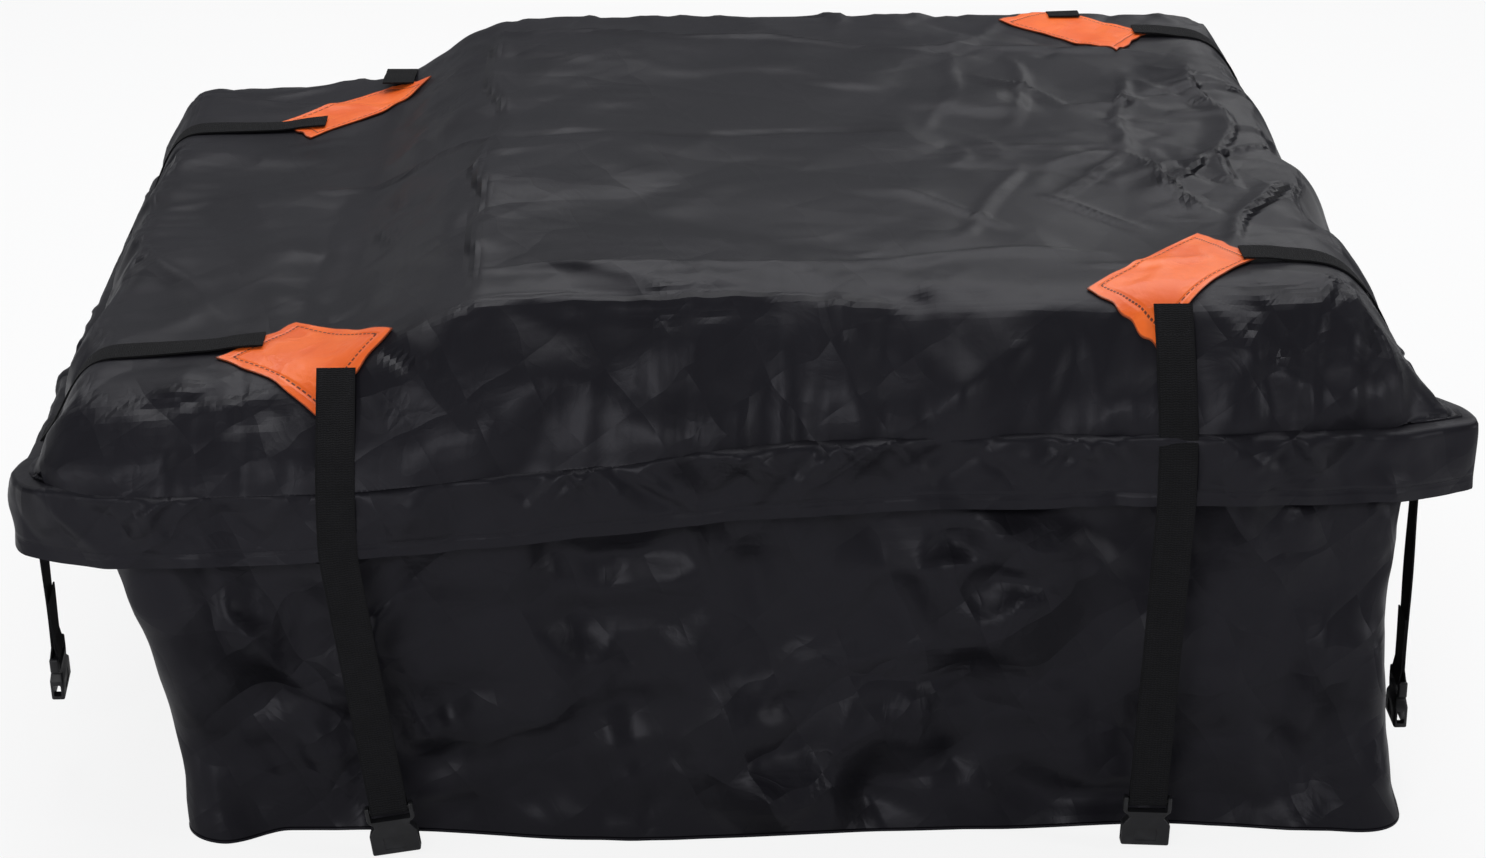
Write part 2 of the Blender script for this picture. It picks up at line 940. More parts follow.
@dataclass
class FoldField:
    """All the folds of one piece of cloth, and what their shapes have in common.

    Each fold is a soft bell with a crisp ridge mixed in. It reaches so many of its own
    widths, and only cloth within the depth of its line takes part. A share of its height
    is left at its ends.
    """

    folds: list[Fold] = field(default_factory=list)
    reach: float = 3.2
    crisp_reach: float = 1.7
    crisp_power: float = 1.4
    end_share: float = 0.25
    sway: float = 0.008
    sway_length: float = 0.16
    depth: float = 0.06
    seed: int = 3
    arms: int = 4

    def add_rows(
        self,
        rows: Sequence[tuple[float, ...]],
        spot: Callable[[float, float], Point],
        style: FoldStyle,
    ) -> None:
        """Adds the folds of a table.

        Args:
            rows: each fold's start and end as two numbers each, its width and height in
                millimetres, and its lean.
            spot: gives the place that two numbers of a row stand for.
            style: how the rows become folds.
        """
        for first, second, third, fourth, wide, tall, lean in rows:
            start, end = spot(first, second), spot(third, fourth)
            width, height = style.width * wide * MILLI, style.height * tall * MILLI
            self.folds.append(Fold(start, end, width, height, style.sharp, lean))

    def star(self, middle: Point, reach: float, height: float, seed: int) -> None:
        """Adds a crumple: short folds on level cloth that meet in one place.

        Args:
            middle: the place.
            reach: the length of the longest arm.
            height: the height of the highest.
            seed: picks the arms.
        """
        random = np.random.default_rng(seed)
        turn = random.uniform(0, math.pi)
        for k in range(self.arms):
            angle = turn + 2 * math.pi * (k + random.uniform(-0.3, 0.3)) / self.arms
            length = reach * random.uniform(0.45, 1)
            end = np.array(middle) + length * np.array([math.cos(angle), math.sin(angle), 0])
            tall = height * random.uniform(0.5, 1) * (1 if k % 2 else -0.7)
            self.folds.append(Fold(tuple(middle), tuple(end), random.uniform(0.006, 0.012), tall, 0.8))

    def heights(self, points: Array, normals: Array) -> Array:
        """Returns how far each point is lifted along its normal.

        Args:
            points: the cloth's points.
            normals: its unit normals there.

        Returns:
            The lifts, in metres.
        """
        shift = np.stack([waves(points, self.sway_length, self.seed + k) for k in range(3)], axis=1)
        swayed = points + self.sway * shift
        lifts = np.zeros(len(points))
        for fold in self.folds:
            start = np.array(fold.start)
            run = np.array(fold.end) - start
            share = np.clip((swayed - start) @ run / (run @ run), 0, 1)
            off = swayed - start - share[:, None] * run
            above = (off * normals).sum(axis=1)
            off = off - above[:, None] * normals
            distance = np.linalg.norm(off, axis=1)
            near = distance < self.reach * fold.width * (1 + abs(fold.lean))
            near &= np.abs(above) < self.depth
            sideways = np.cross(run / np.linalg.norm(run), normals[near])
            side = (off[near] * sideways).sum(axis=1) / np.maximum(distance[near], 1e-6)
            gap = distance[near] / (fold.width * (1 + fold.lean * side))
            soft = np.exp(-gap ** 2)
            crisp = np.clip(1 - gap / self.crisp_reach, 0, 1) ** self.crisp_power
            bell = (1 - fold.sharp) * soft + fold.sharp * crisp
            fade = np.clip(4 * share[near] * (1 - share[near]), 0, 1) ** 0.5
            lifts[near] += fold.height * bell * (self.end_share + (1 - self.end_share) * fade)
        return lifts


# Outline of the bag
@dataclass(frozen=True)
class Inset:
    """How far a level of the tub lies in from the four sides of the seam, in metres."""

    left: float
    right_front: float
    right_rear: float
    front: float
    rear: float


FLOOR_INSET = Inset(0.098, -0.006, 0.009, 0.006, 0.022)
SHOULDER_INSET = Inset(0.044, 0.006, 0.016, 0.014, 0.018)


@dataclass(frozen=True)
class SeamPlan:
    """Plan of the seam between the lid and the storm flap, in metres, as in the solids."""

    half_length: float = 0.535
    half_width: float = 0.452
    corner: float = 0.075
    still: float = 0.337
    left: tuple[float, float] = (0.558, 0.022)
    right: tuple[float, float] = (0.523, 0.044)
    right_rear: float = 0.506
    shift: float = 0.0096
    low: float = 0.310
    rise: float = 0.042
    rising: tuple[float, float] = (-0.400, 0.160)

    def height(self, x: Array) -> Array:
        """Returns the seam's height at places along the regular plan."""
        return self.low + self.rise * smoothstep(x, *self.rising)

    def corner_shares(self, x: Array, y: Array) -> tuple[Array, Array]:
        """Returns how far places lie into their corner squares.

        Args:
            x: places along the regular plan.
            y: places across it.

        Returns:
            Shares from 0 to 1, along and across.
        """
        u = np.clip((np.abs(x) - self.half_length + self.corner) / self.corner, 0, 1)
        v = np.clip((np.abs(y) - self.half_width + self.corner) / self.corner, 0, 1)
        return u, v

    def _rounded(self, x: Array, y: Array) -> tuple[Array, Array]:
        """Rounds the square corners of the regular plan.

        Args:
            x: places along the plan.
            y: places across it.

        Returns:
            The X and the Y, without their signs.
        """
        u, v = self.corner_shares(x, y)
        both = (u > 0) & (v > 0)
        round_x = self.half_length - self.corner + self.corner * u * np.sqrt(1 - v * v / 2)
        round_y = self.half_width - self.corner + self.corner * v * np.sqrt(1 - u * u / 2)
        return np.where(both, round_x, np.abs(x)), np.where(both, round_y, np.abs(y))

    def places(self, x: Array, y: Array) -> Array:
        """Maps the regular plan to the real one.

        Args:
            x: places along the regular plan.
            y: places across it.

        Returns:
            Rows of real X and Y.
        """
        u, v = self.corner_shares(x, y)
        ax, ay = self._rounded(x, y)
        back = (y + self.half_width) / (2 * self.half_width)
        right = self.right[0] + (self.right_rear - self.right[0]) * back
        reach = np.where(x < 0, self.left[0], right)
        stretch = (reach - self.still) / (self.half_length - self.still)
        flare = np.where(x < 0, self.left[1], self.right[1]) * u * v * (y < 0)
        ax = ax + np.maximum(0, ax - self.still) * (stretch - 1) + flare
        return np.stack([np.sign(x) * ax + self.shift, np.sign(y) * ay], axis=-1)

    def inset(self, regular: Array, inset: Inset) -> Array:
        """Maps the regular rim to an outline that lies in from the four sides.

        Args:
            regular: places on the rim of the regular plan.
            inset: how far the outline lies in.

        Returns:
            Rows of real X, Y and zero.
        """
        x, y = regular[:, 0], regular[:, 1]
        ax, ay = self._rounded(x, y)
        across_x = (np.sign(x) * ax / self.half_length + 1) / 2
        across_y = (np.sign(y) * ay / self.half_width + 1) / 2
        left = inset.left - self.left[0]
        right_front = self.right[0] - inset.right_front
        right_rear = self.right_rear - inset.right_rear
        right = right_front + (right_rear - right_front) * across_y
        front, rear = inset.front - self.half_width, self.half_width - inset.rear
        real_x = left + (right - left) * across_x + self.shift
        real_y = front + (rear - front) * across_y
        return np.stack([real_x, real_y, 0 * real_x], axis=1)


def outward_of(rim: Array) -> Array:
    """Returns the level outward directions of a closed row of points.

    Args:
        rim: the points, counter-clockwise seen from above.

    Returns:
        Unit directions, softened a little from point to point.
    """
    ahead = unit((np.roll(rim, -1, axis=0) - rim) * np.array([1, 1, 0]))
    along = unit(blurred(ahead + np.roll(ahead, 1, axis=0), 0, 2.0, True))
    return np.stack([along[:, 1], -along[:, 0], np.zeros(len(rim))], axis=1)


@dataclass
class SeamRing:
    """The seam as a closed row of stations, each with its outward direction."""

    points: Array
    regular: Array
    outward: Array
    run: Array

    @classmethod
    def of(cls, rim: Array, regular: Array) -> "SeamRing":
        """Measures the ring from its points.

        Args:
            rim: the points, in order, counter-clockwise seen from above.
            regular: the same places in the regular plan.

        Returns:
            The ring.
        """
        steps = np.linalg.norm(np.roll(rim, -1, axis=0) - rim, axis=1)
        run = np.concatenate([[0], np.cumsum(steps)[:-1]])
        return cls(rim, regular, outward_of(rim), run)

    def refined(self) -> "SeamRing":
        """Adds a station halfway between each two.

        Returns:
            The finer ring.
        """
        halves = [
            np.stack([rows, (rows + np.roll(rows, -1, axis=0)) / 2], axis=1).reshape(-1, rows.shape[1])
            for rows in (self.points, self.regular)
        ]
        return SeamRing.of(*halves)


@dataclass(frozen=True)
class StrapPlace:
    """Where one strap lies: its name, the way it leaves, its middle and its start."""

    name: str
    out: tuple[int, int]
    middle: float
    start: float

    def gap(self, points: Array) -> Array:
        """Returns how far points are from the strap's middle line.

        Args:
            points: the points.

        Returns:
            The distances in plan, in metres. They are large on the strap's far side.
        """
        margin, growth = 0.02, 3
        along, over = (1, 0) if self.out[0] == 0 else (0, 1)
        ahead = points[:, along] * self.out[along]
        behind = np.maximum(0, self.start - margin - ahead)
        return np.abs(points[:, over] - self.middle) + growth * behind


STRAP_PLACES = (
    StrapPlace("front_right", (0, -1), 0.3316, 0.402),
    StrapPlace("front_left", (0, -1), -0.3124, 0.402),
    StrapPlace("rear_right", (0, 1), 0.3316, 0.377),
    StrapPlace("rear_left", (0, 1), -0.3124, 0.343),
    StrapPlace("right_front", (1, 0), -0.328, 0.395),
    StrapPlace("right_rear", (1, 0), 0.328, 0.392),
    StrapPlace("left_front", (-1, 0), -0.328, 0.376),
    StrapPlace("left_rear", (-1, 0), 0.262, 0.376),
)


def downwards(axis: Vector, out: Vector) -> Vector:
    """Returns the direction in which a strap and its buckle hang.

    Args:
        axis: the direction of the buckle's bar.
        out: the strap's way out.

    Returns:
        The unit direction square to both, on its downward side.
    """
    down = axis.cross(out).normalized()
    if down.z > 0:
        down.negate()
    return down


def calm_under_straps(points: Array, inner: float = 0.017, outer: float = 0.05) -> Array:
    """Returns how freely the cloth folds: little under a strap, fully away from it.

    Args:
        points: the cloth's points.
        inner: the calm strip's half width.
        outer: where the cloth is free again.

    Returns:
        Shares from a little over 0 to 1.
    """
    least = 0.12
    gaps = np.min([place.gap(points) for place in STRAP_PLACES], axis=0)
    return least + (1 - least) * smoothstep(gaps, inner, outer)


# Creases that the photograph shows on the top of the lid, set by eye: from and to in
# plan, in metres, then the width and height in millimetres and the lean
TOP_CREASES = (
    (-0.22, 0.36, 0.17, 0.29, 8, 2.2, 0.3),
    (0.17, 0.29, 0.44, 0.255, 8, 2.0, 0.3),
    (-0.21, 0.02, -0.08, 0.01, 7, -2.2, 0.0),
    (-0.08, 0.01, 0.15, 0.02, 7, -2.0, 0.0),
    (-0.21, 0.02, -0.37, 0.06, 8, 2.5, 0.3),
    (-0.21, -0.33, 0.13, -0.32, 10, 2.4, 0.4),
    (0.13, -0.32, 0.29, -0.31, 9, 2.4, 0.4),
    (-0.21, -0.39, 0.12, -0.385, 10, 3.0, 0.4),
    (-0.20, -0.39, -0.215, 0.01, 14, 3.6, 0.5),
    (-0.215, 0.01, -0.22, 0.37, 12, 3.6, 0.5),
    (-0.35, 0.02, -0.35, -0.30, 20, -3.0, 0.2),
    (-0.20, -0.395, -0.23, -0.42, 14, 4.0, 0.4),
    (-0.51, 0.38, -0.24, 0.27, 10, 2.0, 0.2),
    (-0.56, 0.04, -0.40, -0.29, 12, 2.5, 0.3),
    (0.22, 0.19, 0.30, 0.075, 8, 3.4, 0.5),
    (0.26, 0.24, 0.25, 0.015, 7, 3.0, 0.4),
    (0.30, 0.075, 0.41, 0.12, 8, 3.5, 0.5),
    (0.43, 0.23, 0.43, -0.16, 9, 4.0, 0.5),
    (0.37, 0.17, 0.33, -0.075, 8, 3.5, -0.4),
    (0.33, -0.075, 0.27, -0.18, 7, 3.0, 0.4),
    (0.33, -0.075, 0.405, -0.225, 9, 4.0, 0.5),
    (0.215, -0.04, 0.32, -0.045, 7, 2.5, 0.3),
    (0.14, -0.15, 0.22, -0.26, 9, 2.4, 0.3),
    (0.24, -0.10, 0.18, -0.28, 8, 2.6, 0.3),
    (0.46, -0.015, 0.37, -0.155, 6, 3.0, 0.4),
    (0.23, 0.34, 0.18, 0.02, 8, 2.0, 0.3),
    (0.44, -0.36, 0.365, -0.34, 8, 3.0, 0.4),
    (0.37, -0.34, 0.27, -0.335, 8, 2.6, 0.3),
    (0.465, -0.125, 0.39, -0.30, 8, 4.0, 0.4),
    (0.255, -0.18, 0.335, -0.26, 7, 2.6, -0.3),
)

# Folds that fan out from the patches down the front of the lid, in the same way, but
# from and to are X and the height above the floor
FRONT_LID_FOLDS = (
    (0.21, 0.41, 0.11, 0.335, 14, 4.0, 0.5),
    (0.215, 0.41, 0.14, 0.345, 11, 3.5, 0.4),
    (0.22, 0.415, 0.175, 0.36, 12, 4.0, -0.4),
    (0.25, 0.415, 0.215, 0.36, 12, 3.5, 0.4),
    (0.275, 0.415, 0.25, 0.36, 10, 3.0, 0.4),
    (-0.18, 0.43, -0.21, 0.345, 16, 4.0, -0.5),
    (-0.155, 0.42, -0.055, 0.34, 18, 3.5, 0.5),
    (-0.07, 0.43, -0.05, 0.34, 14, 3.0, 0.5),
    (0.03, 0.415, 0.0, 0.345, 16, 3.0, 0.4),
    (0.10, 0.42, 0.06, 0.35, 14, 3.0, -0.4),
    (-0.34, 0.365, -0.48, 0.325, 15, 3.2, 0.5),
    (-0.34, 0.36, -0.43, 0.32, 13, 3.0, 0.4),
    (-0.33, 0.36, -0.38, 0.32, 12, 2.6, 0.4),
    (-0.38, 0.37, -0.48, 0.35, 16, 3.2, -0.5),
    (-0.44, 0.37, -0.51, 0.34, 16, 3.0, 0.4),
    (-0.29, 0.385, -0.24, 0.325, 10, 4.0, 0.4),
    (-0.28, 0.39, -0.21, 0.335, 12, 4.0, -0.4),
    (-0.27, 0.40, -0.18, 0.345, 12, 3.0, 0.4),
    (0.345, 0.415, 0.38, 0.36, 12, 3.6, 0.5),
    (0.37, 0.405, 0.53, 0.355, 15, 5.0, -0.5),
    (0.39, 0.415, 0.465, 0.36, 13, 4.0, 0.5),
    (0.36, 0.395, 0.425, 0.355, 12, 3.4, 0.4),
    (0.45, 0.425, 0.525, 0.375, 12, 4.0, -0.4),
    (0.33, 0.38, 0.365, 0.355, 11, 3.0, 0.3),
    (0.295, 0.415, 0.275, 0.355, 10, 4.0, 0.4),
    (0.31, 0.40, 0.295, 0.355, 11, 2.6, -0.4),
)

# Deep folds on the front of the tub, given like those on the front of the lid
FRONT_WALL_FOLDS = (
    (-0.31, 0.20, -0.07, 0.13, 26, 7.0, 0.6),
    (-0.22, 0.09, -0.06, 0.13, 20, 6.0, -0.5),
    (-0.06, 0.13, 0.27, 0.16, 30, 7.5, -0.6),
    (-0.12, 0.07, 0.03, 0.10, 22, 5.0, -0.4),
    (0.03, 0.10, 0.27, 0.16, 24, 5.0, -0.5),
    (0.27, 0.16, 0.32, 0.07, 20, 6.0, 0.5),
    (-0.44, 0.23, -0.38, 0.14, 16, 5.0, 0.5),
    (-0.38, 0.14, -0.31, 0.11, 16, 5.0, 0.4),
    (-0.36, 0.06, -0.29, 0.08, 14, 5.0, -0.4),
    (0.29, 0.15, 0.39, 0.21, 20, 6.0, 0.5),
    (0.37, 0.12, 0.45, 0.02, 20, 6.0, 0.6),
    (-0.02, 0.29, 0.0, 0.21, 9, 3.0, 0.2),
    (0.10, 0.13, 0.04, 0.02, 12, 4.0, 0.6),
    (-0.01, 0.02, 0.14, 0.01, 16, 4.0, -0.3),
    (-0.29, 0.21, -0.18, 0.24, 14, 4.0, 0.4),
    (-0.18, 0.24, -0.02, 0.24, 16, -4.0, 0.2),
    (0.12, 0.21, 0.26, 0.23, 18, 4.0, -0.4),
    (0.16, 0.05, 0.22, 0.01, 16, 4.0, 0.4),
    (0.21, 0.13, 0.19, 0.02, 20, 4.0, 0.5),
)

# How far the foot of the front is drawn in, as X and distance in metres
FOOT_DRAWN_IN = (
    (-0.47, 0.004),
    (-0.41, 0.004),
    (-0.37, 0.026),
    (-0.28, 0.024),
    (-0.14, 0.004),
    (-0.08, 0.0),
    (0.08, 0.010),
    (0.22, 0.013),
    (0.33, 0.022),
    (0.44, 0.006),
    (0.52, 0.0),
)

# Crumpled areas of the lid: how many crumples, X from and to, Y from and to, and the
# lowest and highest of them
CRUMPLED_AREAS = (
    (18, (0.20, 0.47), (-0.22, 0.38), (0.0020, 0.0042)),
    (9, (-0.50, -0.20), (-0.33, 0.36), (0.001, 0.002)),
    (7, (-0.15, 0.20), (-0.40, -0.30), (0.0008, 0.0016)),
)

# Where the front of the flap is puckered most, along X
FLAP_PUCKERS = (-0.30, -0.135, -0.115, -0.01, 0.005, 0.075, 0.09, 0.11, 0.255, 0.275, 0.365, 0.42)


# Lid
@dataclass(frozen=True)
class SeamRoll:
    """The soft roll of cloth that sags over the seam along the front, in metres.

    It starts and ends where X goes through the two end spans. At the low end it stands
    out a little more and drops a little less. The ripple's height is a share.
    """

    crest: float = 0.0035
    fade: float = 0.011
    out: float = 0.0125
    out_more: float = 0.003
    drop: float = 0.0085
    drop_less: float = 0.0035
    drop_fade: float = 0.014
    front: Span = (0.40, 0.43)
    low_end: Span = (-0.20, 0.02)
    left_end: Span = (-0.56, -0.50)
    right_end: Span = (0.46, 0.53)
    ripple: Layer = Layer(0.14, 0.16, 44)


@dataclass
class Lid:
    """The top sheet, pulled down over the load and gathered into the seam."""

    plan: SeamPlan = SeamPlan()
    columns: int = 229
    rows: int = 183
    thickness: float = 0.0012
    free_edge: float = 0.008
    crowding: float = 0.35
    seam_blend: float = 0.012
    steep: Span = (0.72, 0.95)
    sewn_at: float = 0.004
    gathers: int = 170
    swell: Layer = Layer(0.0014, 0.26, 11)
    ripple: Layer = Layer(0.00035, 0.08, 12)
    top_facets: Layer = Layer(0.0026, 0.24, 15, 3)
    steep_facets: Layer = Layer(0.0042, 0.14, 13, 3)
    small_facets: Layer = Layer(0.0020, 0.07, 14, 3)
    roll: SeamRoll = SeamRoll()

    def build(self) -> bpy.types.Object:
        """Builds the sheet on the CAD lid.

        Returns:
            The finished object.
        """
        obj = Bench.grid("lid_cloth", self.columns, self.rows)
        flat = Bench.points(obj)[:, :2]
        flat = (1 - self.crowding) * flat + self.crowding * np.sin(flat * math.pi / 2)
        self.regular = flat * [self.plan.half_length, self.plan.half_width]
        self.smoothed = self._smooth_solid()
        points = self._on_solid(self.plan.places(self.regular[:, 0], self.regular[:, 1]))
        seam = self.plan.height(self.regular[:, 0])
        inner = smoothstep(self._edge_gap(), 0, self.seam_blend)
        points[:, 2] = seam + (points[:, 2] - seam) * inner
        self.ring = SeamRing.of(self._rim(points), self._rim(self.regular))
        points = self._folded(points)
        Bench.move_points(obj, points)
        self._note_stitches(obj)
        Bench.thicken(obj, self.thickness, 75)
        Bench.dress(obj, ClothFinish(), "cloth")
        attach(obj, "bag")
        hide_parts("lid")
        self.surface = Bench.surface(obj)
        return obj

    def _smooth_solid(self) -> BVHTree:
        """Smooths the CAD lid's outer face.

        Returns:
            The smoothed surface.
        """
        barely_up, any_angle = 0.01, 1.2
        copy = Bench.copy_of("lid", "lid_guide")
        bpy.ops.object.mode_set(mode="EDIT")
        bpy.ops.mesh.select_all(action="DESELECT")
        bpy.ops.object.mode_set(mode="OBJECT")
        for face in copy.data.polygons:
            face.select = face.normal.z <= barely_up
        bpy.ops.object.mode_set(mode="EDIT")
        bpy.ops.mesh.delete(type="FACE")
        bpy.ops.mesh.select_all(action="SELECT")
        bpy.ops.mesh.tris_convert_to_quads(face_threshold=any_angle, shape_threshold=any_angle)
        bpy.ops.object.mode_set(mode="OBJECT")
        Bench.modifier(copy, "SUBSURF", levels=3, render_levels=3, boundary_smooth="PRESERVE_CORNERS")
        tree = Bench.surface(copy)
        Bench.drop(copy)
        return tree

    def _on_solid(self, plan: Array) -> Array:
        """Lifts plan places to the smoothed solid.

        Args:
            plan: rows of X and Y.

        Returns:
            Points on the surface.
        """
        seam_height = 0.33
        points = np.zeros((len(plan), 3))
        points[:, :2] = plan
        for k, (x, y) in enumerate(plan):
            hit = dropped_on(self.smoothed, x, y)[0]
            near = hit or self.smoothed.find_nearest(Vector((x, y, seam_height)))[0]
            points[k, 2] = near.z
        return points

    def _rim(self, points: Array) -> Array:
        """Takes the rim out of the sheet's points.

        Args:
            points: one row per point of the sheet.

        Returns:
            The rows on the rim, counter-clockwise from the low corner.
        """
        table = points.reshape(self.rows, self.columns, -1)
        sides = [table[0, :-1], table[:-1, -1], table[-1, :0:-1], table[:0:-1, 0]]
        return np.concatenate(sides)

    def _normals(self, points: Array) -> Array:
        """Returns the sheet's unit normals.

        Args:
            points: the sheet's points.

        Returns:
            One normal per point.
        """
        table = points.reshape(self.rows, self.columns, 3)
        along_x = np.gradient(table, axis=1)
        along_y = np.gradient(table, axis=0)
        return unit(np.cross(along_x, along_y).reshape(-1, 3))

    def _edge_gap(self) -> Array:
        """Measures the sheet in the regular plan.

        Returns:
            Each point's distance from the seam.
        """
        from_end = self.plan.half_length - np.abs(self.regular[:, 0])
        from_side = self.plan.half_width - np.abs(self.regular[:, 1])
        return np.minimum(from_end, from_side)

    def _steepness(self, points: Array) -> Array:
        """Returns 1 where the sheet hangs steeply, and 0 where it lies on the load."""
        return 1 - smoothstep(self._normals(points)[:, 2], *self.steep)

    def _folded(self, points: Array) -> Array:
        """Adds folds, gathers and the soft roll over the flap.

        Args:
            points: the smooth sheet.

        Returns:
            The folded sheet.
        """
        normals = self._normals(points)
        gap = self._edge_gap()
        steep = self._steepness(points)
        lifts = self._folds().heights(points, normals)
        lifts += self._gathers(points, gap)
        lifts += (self.swell.waves(points) + self.top_facets.facets(points)) * (1 - steep)
        lifts += self.ripple.waves(points)
        lifts += (self.steep_facets.facets(points) + self.small_facets.facets(points)) * steep
        lifts *= calm_under_straps(points) * smoothstep(gap, 0, self.free_edge)
        return points + normals * lifts[:, None] + self._rolled(points, gap)

    def _folds(self) -> FoldField:
        """Gathers the lid's folds.

        Returns:
            All the folds.
        """
        folds = FoldField()
        folds.add_rows(TOP_CREASES, self._top_spot, FoldStyle(width=0.75, height=1.4, sharp=0.8))
        folds.add_rows(FRONT_LID_FOLDS, self._front_spot, FoldStyle(width=0.95, height=1.0, sharp=0.85))
        self._crumple(folds)
        return folds

    def _top_spot(self, x: float, y: float) -> Point:
        """Returns the place on the smooth sheet that is seen there from above."""
        hit = dropped_on(self.smoothed, x, y)[0]
        return (x, y, hit.z if hit else 0.4)

    def _front_spot(self, x: float, z: float) -> Point:
        """Returns the place on the lid's front at a height."""
        hit = self.smoothed.ray_cast(Vector((x, -1, z)), Vector((0, 1, 0)))[0]
        return tuple(hit) if hit else (x, -self.plan.half_width, z)

    def _crumple(self, folds: FoldField) -> None:
        """Adds small crumples: on the high end near its right side, and a few elsewhere.

        Args:
            folds: takes the new folds.
        """
        random = np.random.default_rng(21)
        for count, along, across, heights in CRUMPLED_AREAS:
            for _ in range(count):
                spot = self._top_spot(random.uniform(*along), random.uniform(*across))
                reach, tall = random.uniform(0.04, 0.11), random.uniform(*heights)
                folds.star(spot, reach, tall, int(random.integers(1000)))

    def _gathers(self, points: Array, gap: Array) -> Array:
        """Returns the gathers that run up from the seam.

        Args:
            points: the smooth sheet.
            gap: each point's distance from the seam.

        Returns:
            The lifts, in metres.
        """
        random = np.random.default_rng(5)
        lifts = np.zeros(len(points))
        for _ in range(self.gathers):
            side = random.integers(0, 4)
            axis, half, share = (0, 0.52, 1.0) if side < 2 else (1, 0.43, 0.5)
            place = random.uniform(-half, half)
            lean = random.uniform(-0.5, 0.5)
            reach = random.uniform(0.03, 0.12)
            width = random.uniform(0.005, 0.011)
            height = random.uniform(0.0014, 0.0038) * either_way(random) * share
            off = (points[:, axis] - place - lean * gap) / width
            near = self._side_mask(side) & (np.abs(off) < 3)
            lifts[near] += height * np.exp(-off[near] ** 2) * np.exp(-(gap[near] / reach) ** 2)
        return lifts

    def _side_mask(self, side: int) -> Array:
        """Finds the points nearer one side of the seam than the others.

        Args:
            side: 0 for the front, 1 for the rear, 2 for the right, 3 for the left.

        Returns:
            True for those points.
        """
        x, y = self.regular[:, 0], self.regular[:, 1]
        from_end = self.plan.half_length - np.abs(x)
        from_side = self.plan.half_width - np.abs(y)
        facing = (y < 0, y > 0, x > 0, x < 0)[side]
        return facing & (from_side <= from_end if side < 2 else from_end < from_side)

    def _rolled(self, points: Array, gap: Array) -> Array:
        """Returns the soft roll of cloth that sags over the seam along the front.

        Args:
            points: the smooth sheet.
            gap: each point's distance from the seam.

        Returns:
            Moves of the points.
        """
        roll, x = self.roll, points[:, 0]
        front = smoothstep(-self.regular[:, 1], *roll.front) * self._side_mask(0)
        low = 1 - smoothstep(x, *roll.low_end)
        ends = smoothstep(x, *roll.left_end) * (1 - smoothstep(x, *roll.right_end))
        ripple = 1 + roll.ripple.waves(points * [1, 0, 0])
        rise = np.clip(gap / roll.crest, 0, 1)
        fall = np.exp(-np.maximum(0, gap - roll.crest) ** 2 / (2 * roll.fade ** 2))
        shape = rise * fall * front * ends * ripple
        out = (roll.out + roll.out_more * low) * shape
        drop = (roll.drop - roll.drop_less * low) * shape * np.exp(-(gap / roll.drop_fade) ** 2)
        return np.stack([0 * out, -out, -drop], axis=1)

    def _note_stitches(self, obj: bpy.types.Object) -> None:
        """Marks the sewn line along the seam, and how slack the cloth is.

        Args:
            obj: the sheet.
        """
        points = Bench.points(obj)
        Bench.note(obj, SLACK, 0.75 + 0.5 * self._steepness(points))
        Bench.note(obj, STITCH_GAP, np.abs(self._edge_gap() - self.sewn_at))
        Bench.note(obj, STITCH_RUN, points[:, 0] + points[:, 1])


# Bands round the bag
@dataclass
class Band:
    """A closed band of cloth round the bag, built on the stations of the seam."""

    ring: SeamRing
    name: str

    def mesh(self, rows: Array) -> bpy.types.Object:
        """Makes the band's mesh.

        Args:
            rows: rows of points, each one point per station, from the top down.

        Returns:
            The object. Its first and last stations are joined.
        """
        stations = rows.shape[1]
        closed = np.concatenate([rows, rows[:, :1]], axis=1)
        obj = Bench.grid(self.name, stations + 1, rows.shape[0])
        Bench.move_points(obj, closed.reshape(-1, 3))
        return obj

    def note_cloth(self, obj: bpy.types.Object, gap: Array, slack: float) -> None:
        """Writes what the cloth's finish reads into the band's points.

        Args:
            obj: the band.
            gap: rows of distances from the sewn line, one per station.
            slack: how strongly the finish shows its small creases.
        """
        run = np.repeat(self.ring.run[None], gap.shape[0], axis=0)
        notes = {STITCH_GAP: gap, SLACK: np.full(gap.shape, slack), STITCH_RUN: run}
        for name, values in notes.items():
            Bench.note(obj, name, np.concatenate([values, values[:, :1]], axis=1).ravel())


@dataclass(frozen=True)
class Pucker:
    """One slanting pucker of the flap: its size, its slant, and where it is highest.

    The lean is per metre of depth. The level is the depth where it is highest, and the
    reach is how far it fades out above and below.
    """

    width: float
    height: float
    lean: float
    level: float
    reach: float

    def lifts(self, off: Array, depth: Array) -> Array:
        """Returns how far the pucker lifts the flap.

        Args:
            off: each point's run from the pucker.
            depth: its depth below the seam.

        Returns:
            The lifts, in metres.
        """
        across = (off - self.lean * depth) / self.width
        level = (depth - self.level) / self.reach
        return self.height * np.exp(-across ** 2) * np.exp(-(level ** 2))


